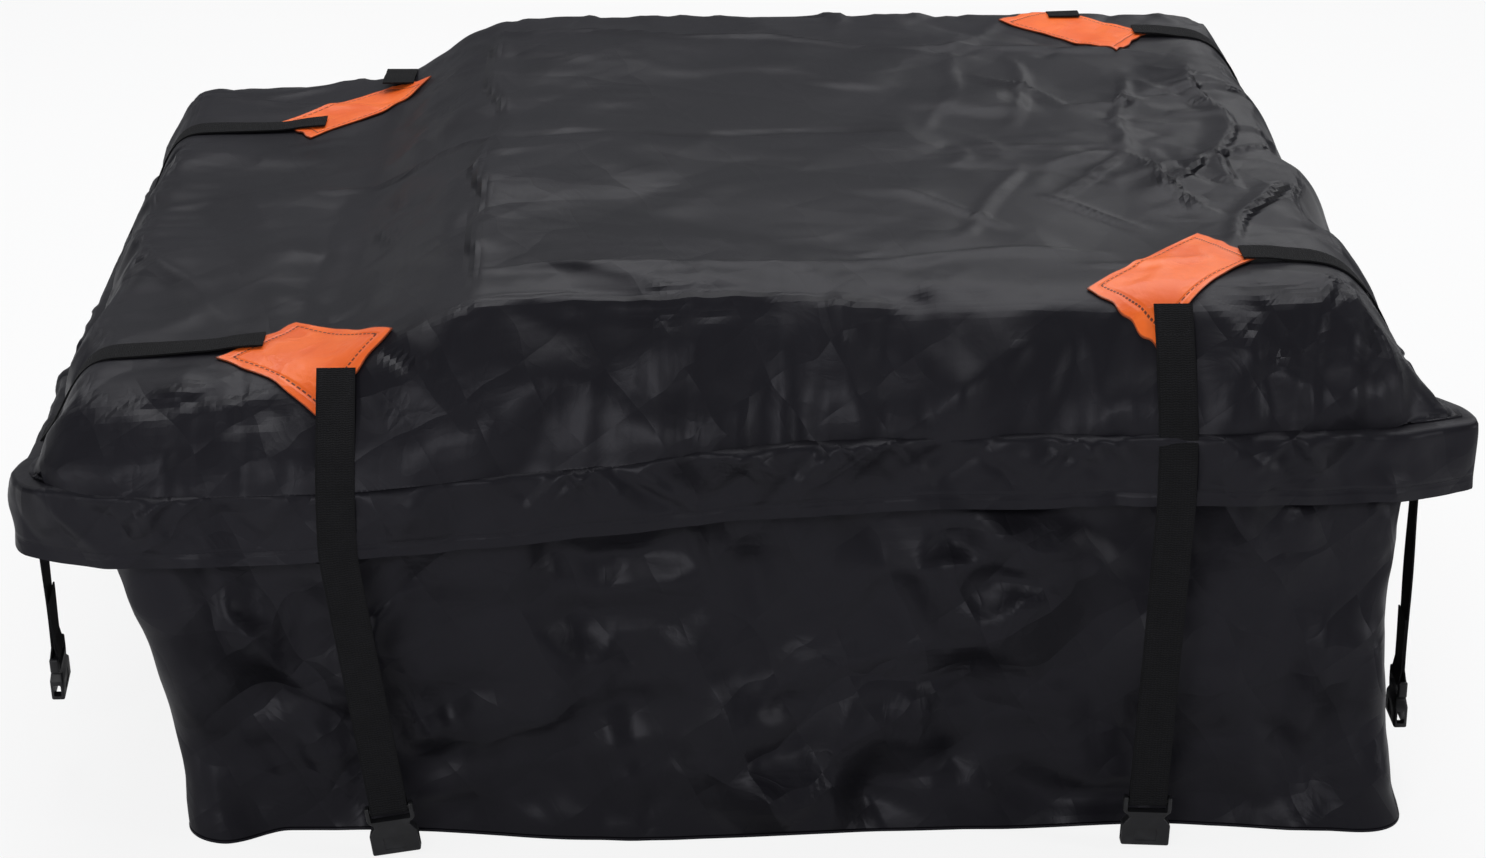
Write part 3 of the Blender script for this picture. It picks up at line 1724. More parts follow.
@dataclass
class StormFlap(Band):
    """The flap over the zip: a ledge, a soft edge, a skirt and a sewn hem."""

    ledge: float = 0.013
    hem_out: float = 0.015
    height: float = 0.060
    hem: float = 0.011
    thickness: float = 0.0011
    unsewn: float = 0.02
    slack: float = 2.1
    puckers: int = 210
    swell: Layer = Layer(0.0022, 0.24, 31)
    crumple: Layer = Layer(0.0020, 0.07, 32)
    hem_swell: Layer = Layer(0.0016, 0.3, 33)
    hem_ripple: Layer = Layer(0.0007, 0.09, 34)

    def section(self) -> Array:
        """Draws the flap's section.

        Returns:
            Rows of outward offset and drop, in metres.
        """
        edge_drop = 0.007
        top = [(-0.0014, 0.0009), (0.004, 0.0016), (0.009, 0.0026), (self.ledge - 0.0012, 0.0042)]
        skirt = [
            (self.ledge + (self.hem_out - self.ledge) * t, edge_drop + (self.height - edge_drop) * t)
            for t in np.linspace(0, 1, 19)
        ]
        turned = [
            (self.hem_out - 0.0022, self.height - 0.0004),
            (self.hem_out - 0.0028, self.height - self.hem),
        ]
        return np.array(top + skirt + turned)

    def build(self) -> bpy.types.Object:
        """Builds the flap.

        Returns:
            The finished object.
        """
        section = self.section()
        base = self.ring.points[None] + self.ring.outward[None] * section[:, None, :1]
        base = base - section[:, None, 1:] * np.array([0, 0, 1])
        drop = np.repeat(section[:, 1:], base.shape[1], axis=1)
        lifts = self._lifts(base, drop)
        rows = base + self.ring.outward[None] * lifts[..., None]
        rows[..., 2] += self._hem_waver(base, drop)
        obj = self.mesh(rows)
        hem_line = self.height - self.hem
        turned_in = np.arange(len(section))[:, None] >= len(section) - 2
        gap = np.abs(drop - hem_line) + turned_in * self.unsewn
        self.note_cloth(obj, gap, self.slack)
        Bench.thicken(obj, self.thickness, 70)
        Bench.dress(obj, ClothFinish(), "cloth")
        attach(obj, "bag")
        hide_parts("storm_flap")
        self.surface = Bench.surface(obj)
        return obj

    def _lifts(self, base: Array, drop: Array) -> Array:
        """Returns the flap's puckers and waves, outwards.

        Args:
            base: the smooth flap's points.
            drop: each point's depth below the seam.

        Returns:
            The lifts, in metres.
        """
        points = base.reshape(-1, 3)
        depth = drop.ravel()
        run = np.repeat(self.ring.run[None], base.shape[0], axis=0).ravel()
        random = np.random.default_rng(8)
        lifts = np.zeros(len(points))
        for _ in range(self.puckers):
            place = random.uniform(0, self.ring.run[-1])
            pucker = Pucker(
                lean=random.uniform(0.3, 1.7) * either_way(random, 0.5),
                width=random.uniform(0.006, 0.013),
                height=random.uniform(0.001, 0.0034) * either_way(random),
                level=random.uniform(0, 0.03),
                reach=random.uniform(0.012, 0.030),
            )
            lifts += pucker.lifts(run - place, depth)
        front = self.ring.points[: int(np.argmax(self.ring.points[:, 0]))]
        for x in FLAP_PUCKERS:
            place = np.interp(x, front[:, 0], self.ring.run[: len(front)])
            for lean in (-1.0, 0.8):
                pucker = Pucker(0.007, random.uniform(0.0036, 0.0048), lean, 0.006, 0.026)
                lifts += pucker.lifts(run - place, depth)
        lifts += self.swell.waves(points * [1, 1, 0.4]) * smoothstep(depth, 0.0, 0.05)
        lifts += self.crumple.facets(points) * smoothstep(depth, 0.0, 0.02)
        free = calm_under_straps(points, 0.018, 0.045)
        return (lifts * free * smoothstep(depth, 0.0008, 0.005)).reshape(drop.shape)

    def _hem_waver(self, base: Array, drop: Array) -> Array:
        """Returns how the hem rises and falls.

        Args:
            base: the smooth flap's points.
            drop: each point's depth below the seam.

        Returns:
            Moves along Z, in metres.
        """
        points = base.reshape(-1, 3) * [1, 1, 0]
        waver = self.hem_swell.waves(points) + self.hem_ripple.waves(points)
        return waver.reshape(drop.shape) * smoothstep(drop, 0.02, self.height)


@dataclass
class TubWall(Band):
    """The tub's wall: full at the foot, drawn in under the flap, with deep soft folds.

    It runs through its outlines at the zip, the shoulder and the floor. The most is how
    far a fold may stand out. Sunk is how far the cloth lies in between its folds.
    """

    plan: SeamPlan = SeamPlan()
    foot: float = 0.0030
    top_drop: float = 0.0285
    top_in: float = 0.0014
    shoulder_drop: float = 0.062
    waist: float = 0.007
    upper_levels: int = 5
    levels: int = 52
    thickness: float = 0.0012
    most: float = 0.0055
    corner_fullness: float = 0.014
    unsewn: float = 0.05
    slack: float = 2.8
    random_folds: int = 95
    broad_facets: Layer = Layer(0.0100, 0.17, 63, 3)
    middle_facets: Layer = Layer(0.0045, 0.075, 64, 3)
    small_facets: Layer = Layer(0.0010, 0.045, 65)
    sunk: float = 0.005
    stretched: float = 0.8
    corner_calm: float = 0.7
    sewn_share: float = 0.1
    top_fade: Span = (0.0, 0.035)
    foot_fade: Span = (0.0, 0.03)
    front_only: float = 0.03
    turn: float = 0.004
    foot_slack: float = 0.012
    foot_swell: Layer = Layer(0.5, 0.30, 67)

    def build(self) -> bpy.types.Object:
        """Builds the wall between its outlines at the zip, the shoulder and the floor.

        Returns:
            The finished object.
        """
        base = self._lofted()
        normals = self._normals(base)
        lifts = self._lifts(base, normals)
        rows = base + normals * lifts[..., None]
        rows[..., 2] = np.maximum(rows[..., 2], self.foot)
        self.foot_ring = rows[-1]
        rows = self._turned_in(rows)
        obj = self.mesh(rows)
        self.note_cloth(obj, np.full(rows.shape[:2], self.unsewn), self.slack)
        Bench.thicken(obj, self.thickness, 75)
        Bench.dress(obj, ClothFinish(), "cloth")
        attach(obj, "bag")
        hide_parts("tub_wall")
        self.surface = Bench.surface(obj)
        return obj

    def _lofted(self) -> Array:
        """Lofts the wall through its outlines.

        Returns:
            Rows of points, from the top down.
        """
        upwards = np.array([0, 0, 1.0])
        top = self.ring.points - self.ring.outward * self.top_in - self.top_drop * upwards
        shoulder = self.plan.inset(self.ring.regular, SHOULDER_INSET)
        shoulder[:, 2] = self.ring.points[:, 2] - self.shoulder_drop
        floor = self.plan.inset(self.ring.regular, FLOOR_INSET)
        self.floor_outward = outward_of(floor)
        u, v = self.plan.corner_shares(self.ring.regular[:, 0], self.ring.regular[:, 1])
        full = self.corner_fullness * smoothstep(u * v, 0.0, 1.0)[:, None] * self.floor_outward
        floor = floor + full - self._drawn_in(floor)[:, None] * self.floor_outward
        floor[:, 2] = self.foot + 0.0005
        shoulder = shoulder + full
        upper = [top + (shoulder - top) * t for t in np.linspace(0, 1, self.upper_levels)[:-1]]
        lower = [
            shoulder + (floor - shoulder) * t - self.floor_outward * self.waist * math.sin(math.pi * t)
            for t in np.linspace(0, 1, self.levels)
        ]
        rows = blurred(np.array(upper + lower), 0, 1.6, False)
        return blurred(rows, 1, 1.2, True)

    def _drawn_in(self, floor: Array) -> Array:
        """Returns how far the slack foot is drawn in from its full outline.

        Args:
            floor: the full outline at the floor.

        Returns:
            The distances, in metres.
        """
        slack = np.clip(0.5 + self.foot_swell.waves(floor), 0, 1.4)
        front = np.interp(floor[:, 0], *zip(*FOOT_DRAWN_IN))
        is_front = smoothstep(-floor[:, 1], 0.40, 0.44)
        return is_front * front + (1 - is_front) * self.foot_slack * slack

    def _normals(self, rows: Array) -> Array:
        """Returns the wall's outward unit normals.

        Args:
            rows: the wall's rows of points.

        Returns:
            One normal per point, in the same rows.
        """
        along = np.roll(rows, -1, axis=1) - np.roll(rows, 1, axis=1)
        down = np.gradient(rows, axis=0)
        normals = unit(np.cross(down, along))
        facing = np.sign((normals * self.floor_outward[None]).sum(axis=2))
        return normals * facing[..., None]

    def _lifts(self, base: Array, normals: Array) -> Array:
        """Returns the wall's folds.

        Args:
            base: the smooth wall's points.
            normals: its outward normals.

        Returns:
            The lifts, in metres.
        """
        points = base.reshape(-1, 3)
        lifts = self._folds(base).heights(points, normals.reshape(-1, 3))
        drawn = points * [1, 1, self.stretched]
        u, v = self.plan.corner_shares(self.ring.regular[:, 0], self.ring.regular[:, 1])
        in_corner = smoothstep(blurred(u * v, 0, 8, True), 0, 0.3)
        calm = np.tile(1 - self.corner_calm * in_corner, base.shape[0])
        lifts += self.broad_facets.facets(drawn) + self.middle_facets.facets(points)
        lifts = (lifts + self.small_facets.facets(points)) * calm - self.sunk
        top = self.ring.points[None, :, 2] - self.top_drop
        ends = smoothstep(top - base[..., 2], *self.top_fade) * smoothstep(base[..., 2], *self.foot_fade)
        lifts = lifts.reshape(base.shape[:2])
        lifts = self.most * np.tanh(np.maximum(lifts, 0) / self.most) + np.minimum(lifts, 0)
        return lifts * (self.sewn_share + (1 - self.sewn_share) * ends)

    def _folds(self, base: Array) -> FoldField:
        """Gathers the folds of the wall.

        Args:
            base: the smooth wall's rows.

        Returns:
            The folds: those seen on the front, and others on the other three sides.
        """
        folds = FoldField(sway=0.012, sway_length=0.2, seed=61)
        front = float(base[..., 1].min()) + self.waist
        style = FoldStyle(width=0.95, height=1.3, sharp=0.9)
        folds.add_rows(FRONT_WALL_FOLDS, lambda x, z: (x, front, z), style)
        random = np.random.default_rng(62)
        for _ in range(self.random_folds):
            k = random.integers(0, base.shape[1])
            row = random.integers(self.upper_levels, base.shape[0])
            start = base[row, k]
            along = np.cross([0, 0, 1.0], self.floor_outward[k])
            angle = random.uniform(-1.2, 1.2)
            length = random.uniform(0.06, 0.2)
            step = length * (math.cos(angle) * along + math.sin(angle) * np.array([0, 0, 1.0]))
            tall = random.uniform(0.002, 0.0062) * either_way(random)
            wide = random.uniform(0.010, 0.022)
            lean = random.uniform(-0.6, 0.6)
            if start[1] > front + self.front_only:
                folds.folds.append(Fold(tuple(start), tuple(start + step), wide, tall, 0.8, lean))
        return folds

    def _turned_in(self, rows: Array) -> Array:
        """Adds the turn at the foot, which lies on the base panel.

        Args:
            rows: the wall's rows.

        Returns:
            The rows with the turn.
        """
        turn = rows[-1] - self.floor_outward * self.turn
        turn[:, 2] = self.foot
        return np.concatenate([rows, turn[None]])


@dataclass
class BasePanel:
    """The flat panel under the tub, cut to the slack foot of its wall."""

    wall: TubWall
    thickness: float = 0.0022
    hem: float = 0.0004
    above_floor: float = 0.0002

    def build(self) -> bpy.types.Object:
        """Builds the panel as one sheet with a rounded edge.

        Returns:
            The finished object.
        """
        count = len(self.wall.foot_ring)
        bpy.ops.object.select_all(action="DESELECT")
        bpy.ops.mesh.primitive_circle_add(vertices=count, radius=1, fill_type="NGON", location=(0, 0, 0))
        obj = Bench.named("base_cloth")
        outline = self.wall.foot_ring + self.wall.floor_outward * self.hem
        outline[:, 2] = self.above_floor
        Bench.move_points(obj, outline)
        with Bench.editing(obj):
            bpy.ops.mesh.extrude_region_move(TRANSFORM_OT_translate={"value": (0, 0, self.thickness)})
        Bench.recalculate(obj)
        Bench.modifier(obj, "BEVEL", width=0.0006, segments=2, limit_method="ANGLE")
        Bench.modifier(obj, "TRIANGULATE")
        for name, value in ((STITCH_GAP, self.wall.unsewn), (SLACK, 1), (STITCH_RUN, 0)):
            Bench.note(obj, name, np.full(len(obj.data.vertices), value))
        Bench.smooth(obj, 40)
        Bench.dress(obj, ClothFinish(), "cloth")
        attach(obj, "bag")
        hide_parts("base_panel")
        return obj


# Corner patches
@dataclass
class CornerPatch:
    """A kite of bright PVC, folded over the edge of the load and sewn round."""

    name: str
    side: tuple[int, int]
    middle: tuple[float, float]
    turn: float
    share: float
    plan: SeamPlan = SeamPlan()
    outward: float = 0.072
    inward: float = 0.095
    across: float = 0.078
    cells: int = 46
    lift: float = 0.0007
    thickness: float = 0.0011
    rim: float = 0.012
    pucker: Layer = Layer(0.0006, 0.045, 71)
    waver: Layer = Layer(0.0011, 0.03, 72)

    def build(self, lid: Lid) -> bpy.types.Object:
        """Builds the patch on the folded lid.

        Args:
            lid: the finished lid.

        Returns:
            The finished object.
        """
        count = self.cells + 1
        obj = Bench.grid(f"patch_{self.name}_pvc", count, count)
        flat = Bench.points(obj)[:, :2] * 0.5 + 0.5
        local, edge, run = self._kite(flat)
        regular = self._turned(local)
        plan = self.plan.places(regular[:, 0], regular[:, 1])
        points = np.zeros((len(plan), 3))
        normals = np.zeros((len(plan), 3))
        for k, (x, y) in enumerate(plan):
            points[k], normals[k] = dropped_on(lid.surface, x, y)[:2]
        normals = unit(self._smoothed(normals, 2))
        near_edge = smoothstep(-edge, -self.rim, 0)
        puckers = np.maximum(0, self.pucker.waves(points)) * near_edge
        lifted = self.lift + self.thickness + puckers
        Bench.move_points(obj, self._smoothed(points, 1.2) + normals * lifted[:, None])
        Bench.note(obj, EDGE_GAP, edge)
        Bench.note(obj, STITCH_RUN, run)
        Bench.recalculate(obj)
        self._face_up(obj)
        Bench.modifier(obj, "SOLIDIFY", thickness=self.thickness, offset=-1)
        Bench.smooth(obj, 60)
        Bench.dress(obj, PatchFinish(), "patch")
        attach(obj, "bag")
        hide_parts(f"patch_{self.name}")
        return obj

    def _smoothed(self, rows: Array, width: float) -> Array:
        """Smooths one row per point both ways over the patch.

        Args:
            rows: the rows.
            width: the width of the smoothing, in cells.

        Returns:
            The smoothed rows.
        """
        count = self.cells + 1
        table = blurred(rows.reshape(count, count, 3), 0, width, False)
        return blurred(table, 1, width, False).reshape(-1, 3)

    def _face_up(self, obj: bpy.types.Object) -> None:
        """Turns the sheet's faces upwards.

        Args:
            obj: the sheet.
        """
        mean = sum((face.normal.z for face in obj.data.polygons), 0.0)
        if mean < 0:
            with Bench.editing(obj):
                bpy.ops.mesh.flip_normals()

    def _kite(self, flat: Array) -> tuple[Array, Array, Array]:
        """Maps the unit square to the kite.

        Args:
            flat: places in the unit square.

        Returns:
            Places in the kite, their distance from its edge, and the run along it.
        """
        corners = [[0, self.outward], [self.across, 0], [0, -self.inward], [-self.across, 0]]
        tips = self.share * np.array(corners)
        u, v = flat[:, :1], flat[:, 1:]
        local = (1 - u) * (1 - v) * tips[0] + u * (1 - v) * tips[1]
        local = local + u * v * tips[2] + (1 - u) * v * tips[3]
        gaps, runs = [], []
        for k in range(4):
            start, end = tips[k], tips[(k + 1) % 4]
            along = (end - start) / np.linalg.norm(end - start)
            off = local - start
            gaps.append(np.abs(off[:, 0] * along[1] - off[:, 1] * along[0]))
            runs.append(off @ along)
        nearest = np.argmin(gaps, axis=0)
        run = np.take_along_axis(np.array(runs), nearest[None], axis=0)[0]
        edge = np.min(gaps, axis=0)
        waver = self.waver.waves(np.c_[local, 0 * local[:, 0]])
        fade = 1 - smoothstep(edge, 0, self.rim)
        centre = local.mean(axis=0)
        outward = local - centre
        outward /= np.maximum(1e-6, np.linalg.norm(outward, axis=1))[:, None]
        return local + outward * (waver * fade)[:, None], edge, run

    def _turned(self, local: Array) -> Array:
        """Turns and places the kite in the regular plan.

        Args:
            local: places in the kite.

        Returns:
            Places in the regular plan.
        """
        turn = math.radians(self.turn)
        x = self.middle[0] + local[:, 0] * math.cos(turn) - local[:, 1] * math.sin(turn)
        y = self.middle[1] - local[:, 0] * math.sin(turn) + local[:, 1] * math.cos(turn)
        return np.stack([self.side[0] * x, self.side[1] * y], axis=1)


# Straps
@dataclass
class Strap:
    """One webbing strap: sewn over its patch, down over the flap, round the buckle's bar."""

    place: StrapPlace
    bar: Vector
    axis: Vector
    width: float = 0.030
    thickness: float = 0.0014
    step: float = 0.0035
    columns: int = 9
    tail: float = 0.046
    join: float = 0.014
    bar_radius: float = 0.002
    slack: float = 0.0005
    play: float = 0.00015
    twist: float = 0.0004
    twist_length: float = 0.021
    lid_lift: float = 0.0009
    patch_lift: float = 0.0022
    patch_run: float = 0.03
    flap_lift: float = 0.0008
    clear: float = 0.08
    turning: Span = (0.55, 0.8)
    feelers: tuple[float, ...] = (-0.012, -0.006, 0, 0.006, 0.012)

    def build(self, lid: Lid, flap: StormFlap) -> bpy.types.Object:
        """Builds the strap.

        Args:
            lid: the finished lid.
            flap: the finished flap.

        Returns:
            The finished object.
        """
        self.out = Vector((*self.place.out, 0))
        self.down = downwards(self.axis, self.out)
        self.across = self._flat_across()
        self.middle = self.across * self.place.middle * (1 if sum(self.across) > 0 else -1)
        middles, acrosses, normals = self._stations(lid, flap)
        obj = self._ribbon(middles, acrosses, normals)
        Bench.modifier(obj, "SOLIDIFY", thickness=self.thickness, offset=0)
        Bench.smooth(obj, 50)
        Bench.dress(obj, WebbingFinish(), "webbing")
        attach(obj, "bag")
        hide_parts(f"strap_{self.place.name}")
        return obj

    def _flat_across(self) -> Vector:
        """Returns the strap's across direction on the lid, on the bar's side."""
        flat = UP.cross(self.out)
        return flat if flat.dot(self.axis) > 0 else -flat

    def _stations(self, lid: Lid, flap: StormFlap) -> tuple[Array, Array, Array]:
        """Lays the strap's middle line over the bag and round the bar.

        Args:
            lid: the finished lid.
            flap: the finished flap.

        Returns:
            The middle line, with its across and outward directions.
        """
        path, reach = self._over_lid(lid)
        path += self._over_flap(flap, reach, path[-1].z)
        half, across = self.thickness / 2, self.across
        hang_top = path[-1]
        front = self.bar + self.out * self._loop_radius()
        count = max(4, int((front - hang_top).length / self.step))
        meet = self.bar + self.out * (half + self.play) - self.down * self.join
        path += [hang_top.lerp(meet, k / count) for k in range(1, count)]
        smoothed = blurred(np.array([tuple(p) for p in path]), 0, 2.2, False)
        path = [Vector(p) for p in smoothed] + [meet]
        on_bag = len(path)
        path += self._round_bar()
        middles = np.array([tuple(p) for p in path])
        first, last = (on_bag * share for share in self.turning)
        turn = smoothstep(np.arange(len(path), dtype=float), first, last)[:, None]
        barwise = self.axis if self.axis.dot(across) > 0 else -self.axis
        acrosses = (1 - turn) * np.array(across) + turn * np.array(barwise)
        along = unit(np.gradient(middles, axis=0))
        acrosses = unit(acrosses - (acrosses * along).sum(axis=1)[:, None] * along)
        normals = np.cross(along, acrosses)
        facing = 1 if normals[0, 2] > 0 else -1
        return middles, acrosses, normals * facing

    def _over_lid(self, lid: Lid) -> tuple[list[Vector], float]:
        """Lays the strap on the lid, from its patch out to the seam.

        Args:
            lid: the finished lid.

        Returns:
            The places, and how far out the last one is.
        """
        path, reach, ahead = [], 0.0, self.place.start
        while True:
            spot = self.middle + self.out * ahead
            feelers = [spot + self.across * off for off in self.feelers]
            hits = [dropped_on(lid.surface, feeler.x, feeler.y)[:2] for feeler in feelers]
            if not all(point for point, _ in hits):
                return path, reach
            height = max(point.z for point, _ in hits)
            normal = sum((normal for _, normal in hits), Vector()).normalized()
            on_patch = self.patch_lift if ahead < self.place.start + self.patch_run else 0.0
            lift = self.thickness / 2 + self.lid_lift + on_patch
            path.append(Vector((spot.x, spot.y, height)) + normal * lift)
            reach = ahead
            ahead += self.step

    def _over_flap(self, flap: StormFlap, reach: float, top: float) -> list[Vector]:
        """Lays the strap down over the flap.

        Args:
            flap: the finished flap.
            reach: how far out the strap's last place on the lid is.
            top: its height.

        Returns:
            The places, from the top down.
        """
        path = []
        for drop in np.arange(0.006, flap.height, self.step):
            reaches = []
            for off in self.feelers[::2]:
                origin = self.middle + self.out * (reach + self.clear) + self.across * off
                origin.z = top - drop
                point = flap.surface.ray_cast(origin, -self.out)[0]
                if point:
                    reaches.append(point.dot(self.out))
            if reaches:
                spot = self.middle + self.out * (max(reaches) + self.thickness / 2 + self.flap_lift)
                path.append(spot + Vector((0, 0, top - drop)))
        return path

    def _loop_radius(self) -> float:
        """Returns the radius of the webbing's middle line round the bar."""
        return self.bar_radius + self.slack + self.thickness / 2

    def _round_bar(self) -> list[Vector]:
        """Loops the strap under the bar, and lays its tail up against its back.

        Returns:
            The places, from the front of the bar on.
        """
        radius = self._loop_radius()
        path = [
            self.bar + self.out * (radius * math.cos(a)) + self.down * (radius * math.sin(a))
            for a in np.linspace(0, math.pi, 13)
        ]
        back = -(self.thickness / 2 + self.play)
        for k in range(int(self.tail / self.step) + 1):
            path.append(self.bar + self.out * back - self.down * (self.join + k * self.step))
        return path

    def _ribbon(self, middles: Array, acrosses: Array, normals: Array) -> bpy.types.Object:
        """Makes the ribbon's mesh and notes the places that its weave follows.

        Args:
            middles: the places of the middle line.
            acrosses: the across directions there.
            normals: the outward directions there.

        Returns:
            The ribbon, still without thickness.
        """
        count = len(middles)
        obj = Bench.grid(f"strap_{self.place.name}_webbing", self.columns, count)
        offs = np.linspace(-0.5, 0.5, self.columns) * self.width
        steps = np.linalg.norm(np.diff(middles, axis=0), axis=1)
        run = np.concatenate([[0], np.cumsum(steps)])
        twist = self.twist * np.sin(run / self.twist_length + self.bar.x * 40)
        ripple = twist[:, None] * (offs / self.width)[None] * 2
        points = middles[:, None] + acrosses[:, None] * offs[None, :, None]
        points = points + normals[:, None] * ripple[..., None]
        Bench.move_points(obj, points.reshape(-1, 3))
        along = np.repeat(run[:, None], self.columns, axis=1)
        across = np.repeat(offs[None], count, axis=0)
        Bench.note(obj, ALONG, along)
        Bench.note(obj, ACROSS, across)
        Bench.note(obj, STITCH_GAP, self._box_stitch(along, across))
        Bench.note(obj, STITCH_RUN, along + across)
        Bench.recalculate(obj)
        return obj

    def _box_stitch(self, along: Array, across: Array) -> Array:
        """Returns each point's distance from the sewn box on the patch.

        Args:
            along: each point's run from the strap's start.
            across: its offset from the middle line.

        Returns:
            The distances, in metres, or more where no stitch is near.
        """
        middle, half_run, half_wide = 0.015, 0.011, 0.011
        margin, far = 0.001, 0.02
        dx = np.abs(np.abs(along - middle) - half_run)
        dy = np.abs(np.abs(across) - half_wide)
        inside_run = np.abs(along - middle) < half_run + margin
        inside_wide = np.abs(across) < half_wide + margin
        gap = np.where(inside_wide, dx, far)
        return np.minimum(gap, np.where(inside_run, dy, far))


# Buckles
@dataclass
class Buckle:
    """Socket half of a side-release buckle, modelled once and copied to each strap."""

    half_width: float = 0.0192
    waist_half: float = 0.0136
    ear_top: float = 0.004
    slot_depth: float = 0.0085
    waist_drop: float = 0.013
    flare_drop: float = 0.019
    length: float = 0.037
    thickness: float = 0.011
    bar: float = 0.002
    socket_half: float = 0.0124
    socket_tall: float = 0.006
    socket_depth: float = 0.021
    window_top: float = 0.022
    window_bottom: float = 0.033
    slot_wide: float = 0.032
    waist_thinned: float = 0.86
    ears_thinned: float = 0.72
    panel: Point = (0.017, 0.0012, 0.010)
    panel_z: float = -0.0275

    def _block(self, size: Point, middle: Point, name: str) -> bpy.types.Object:
        """Adds a block of a size at a place.

        Args:
            size: its sides.
            middle: its middle.
            name: its name.

        Returns:
            The block.
        """
        bpy.ops.mesh.primitive_cube_add(size=1, location=(0, 0, 0))
        block = Bench.named(name)
        block.data.transform(Matrix.Translation(middle) @ Matrix.Diagonal((*size, 1)))
        return block

    def _cut(self, body: bpy.types.Object, size: Point, middle: Point, round_edge: float) -> None:
        """Cuts a rounded block out of the body.

        Args:
            body: the body.
            size: the block's sides.
            middle: its middle.
            round_edge: the radius of its edges.
        """
        cutter = self._block(size, middle, "cutter")
        Bench.modifier(cutter, "BEVEL", width=round_edge, segments=2)
        Bench.modifier(body, "BOOLEAN", operation="DIFFERENCE", object=cutter, solver="EXACT")
        Bench.drop(cutter)

    def master(self) -> bpy.types.Object:
        """Models the buckle with its bar on the X axis and its mouth down.

        Returns:
            The object that the copies are made from.
        """
        tall = self.ear_top + self.length
        middle = (0, 0, self.ear_top - tall / 2)
        body = self._block((2 * self.half_width, self.thickness, tall), middle, "buckle_master")
        with Bench.editing(body):
            for drop in (self.slot_depth, self.waist_drop, self.flare_drop):
                bpy.ops.mesh.select_all(action="SELECT")
                bpy.ops.mesh.bisect(plane_co=(0, 0, -drop), plane_no=(0, 0, 1))
        at_level = 1e-5
        for vertex in body.data.vertices:
            if abs(vertex.co.z + self.waist_drop) < at_level:
                vertex.co.x *= self.waist_half / self.half_width
                vertex.co.y *= self.waist_thinned
            if vertex.co.z > -self.slot_depth - at_level:
                vertex.co.y *= self.ears_thinned
        Bench.modifier(body, "BEVEL", width=0.0016, segments=3, limit_method="ANGLE")
        slot = self.slot_depth + 2 * self.ear_top
        deep = 0.03
        self._cut(body, (self.slot_wide, deep, slot), (0, 0, 2 * self.ear_top - slot / 2), 0.001)
        mouth = 2 * self.socket_depth
        self._cut(body, (2 * self.socket_half, self.socket_tall, mouth), (0, 0, -self.length), 0.0012)
        window = self.window_bottom - self.window_top
        window_z = -(self.window_bottom + self.window_top) / 2
        self._cut(body, (2 * deep, self.socket_tall, window), (0, 0, window_z), 0.001)
        for face in (-self.thickness / 2, self.thickness / 2):
            self._cut(body, self.panel, (0, face, self.panel_z), 0.0004)
        bpy.ops.mesh.primitive_cylinder_add(radius=self.bar, depth=self.slot_wide + 0.003, vertices=24)
        bar = Bench.named("bar")
        bar.data.transform(Matrix.Rotation(math.pi / 2, 4, "Y"))
        Bench.modifier(body, "BOOLEAN", operation="UNION", object=bar, solver="EXACT")
        Bench.drop(bar)
        sharp = math.radians(50)
        Bench.modifier(body, "BEVEL", width=0.0003, segments=1, limit_method="ANGLE", angle_limit=sharp)
        Bench.recalculate(body)
        return body

    def copy_to(
        self, master: bpy.types.Object, place: StrapPlace, bar: Vector, axis: Vector
    ) -> bpy.types.Object:
        """Puts a copy on a strap's bar.

        Args:
            master: the modelled buckle.
            place: the strap.
            bar: the middle of the bar.
            axis: the bar's direction.

        Returns:
            The copy.
        """
        out = Vector((*place.out, 0))
        up = -downwards(axis, out)
        side = out.cross(up).normalized()
        turn = Matrix((side, out, up)).transposed().to_4x4()
        obj = bpy.data.objects.new(f"buckle_{place.name}_moulding", master.data.copy())
        bpy.context.scene.collection.objects.link(obj)
        obj.data.transform(Matrix.Translation(bar) @ turn)
        Bench.smooth(obj, 35)
        Bench.dress(obj, MouldedFinish(Moulding.BUCKLE), "plastic")
        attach(obj, f"buckle_{place.name}")
        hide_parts(f"buckle_{place.name}")
        return obj


# Zip
class Zip:
    """The zip behind the flap: tapes, coil, sliders and pull tabs."""

    def build(self) -> list[bpy.types.Object]:
        """Dresses the zip's pieces.

        Returns:
            The new pieces.
        """
        made = []
        for node, finish, slot in (
            ("zip_tape_upper", TapeFinish(), "tape"),
            ("zip_tape_lower", TapeFinish(), "tape"),
            ("zip_chain", MouldedFinish(Moulding.CHAIN), "chain"),
        ):
            obj = Bench.copy_of(node, f"{node}_woven")
            Bench.modifier(obj, "BEVEL", width=0.0003, segments=1, limit_method="ANGLE")
            Bench.smooth(obj, 50)
            Bench.dress(obj, finish, slot)
            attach(obj, "bag")
            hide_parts(node)
            made.append(obj)
        for end in ("front", "rear"):
            for part in ("slider", "pull"):
                node = frame["nodes"][f"zip_{part}_{end}"]
                node.data.materials.clear()
                node.data.materials.append(Finishes.of(MouldedFinish(Moulding.METAL)))
        return made


# Studio
@dataclass(frozen=True)
class SoftLamp:
    """A soft lamp: where it is, what it faces, its two sides and its power."""

    name: str
    place: Point
    target: Point
    wide: float
    deep: float
    watts: float

    def add(self) -> None:
        """Adds the lamp to the scene."""
        data = bpy.data.lights.new(self.name, "AREA")
        data.shape = "RECTANGLE"
        data.size = self.wide
        data.size_y = self.deep
        data.energy = self.watts
        lamp = bpy.data.objects.new(self.name, data)
        lamp.location = self.place
        ahead = Vector(self.target) - Vector(self.place)
        lamp.rotation_euler = ahead.to_track_quat("-Z", "Y").to_euler()
        bpy.context.scene.collection.objects.link(lamp)


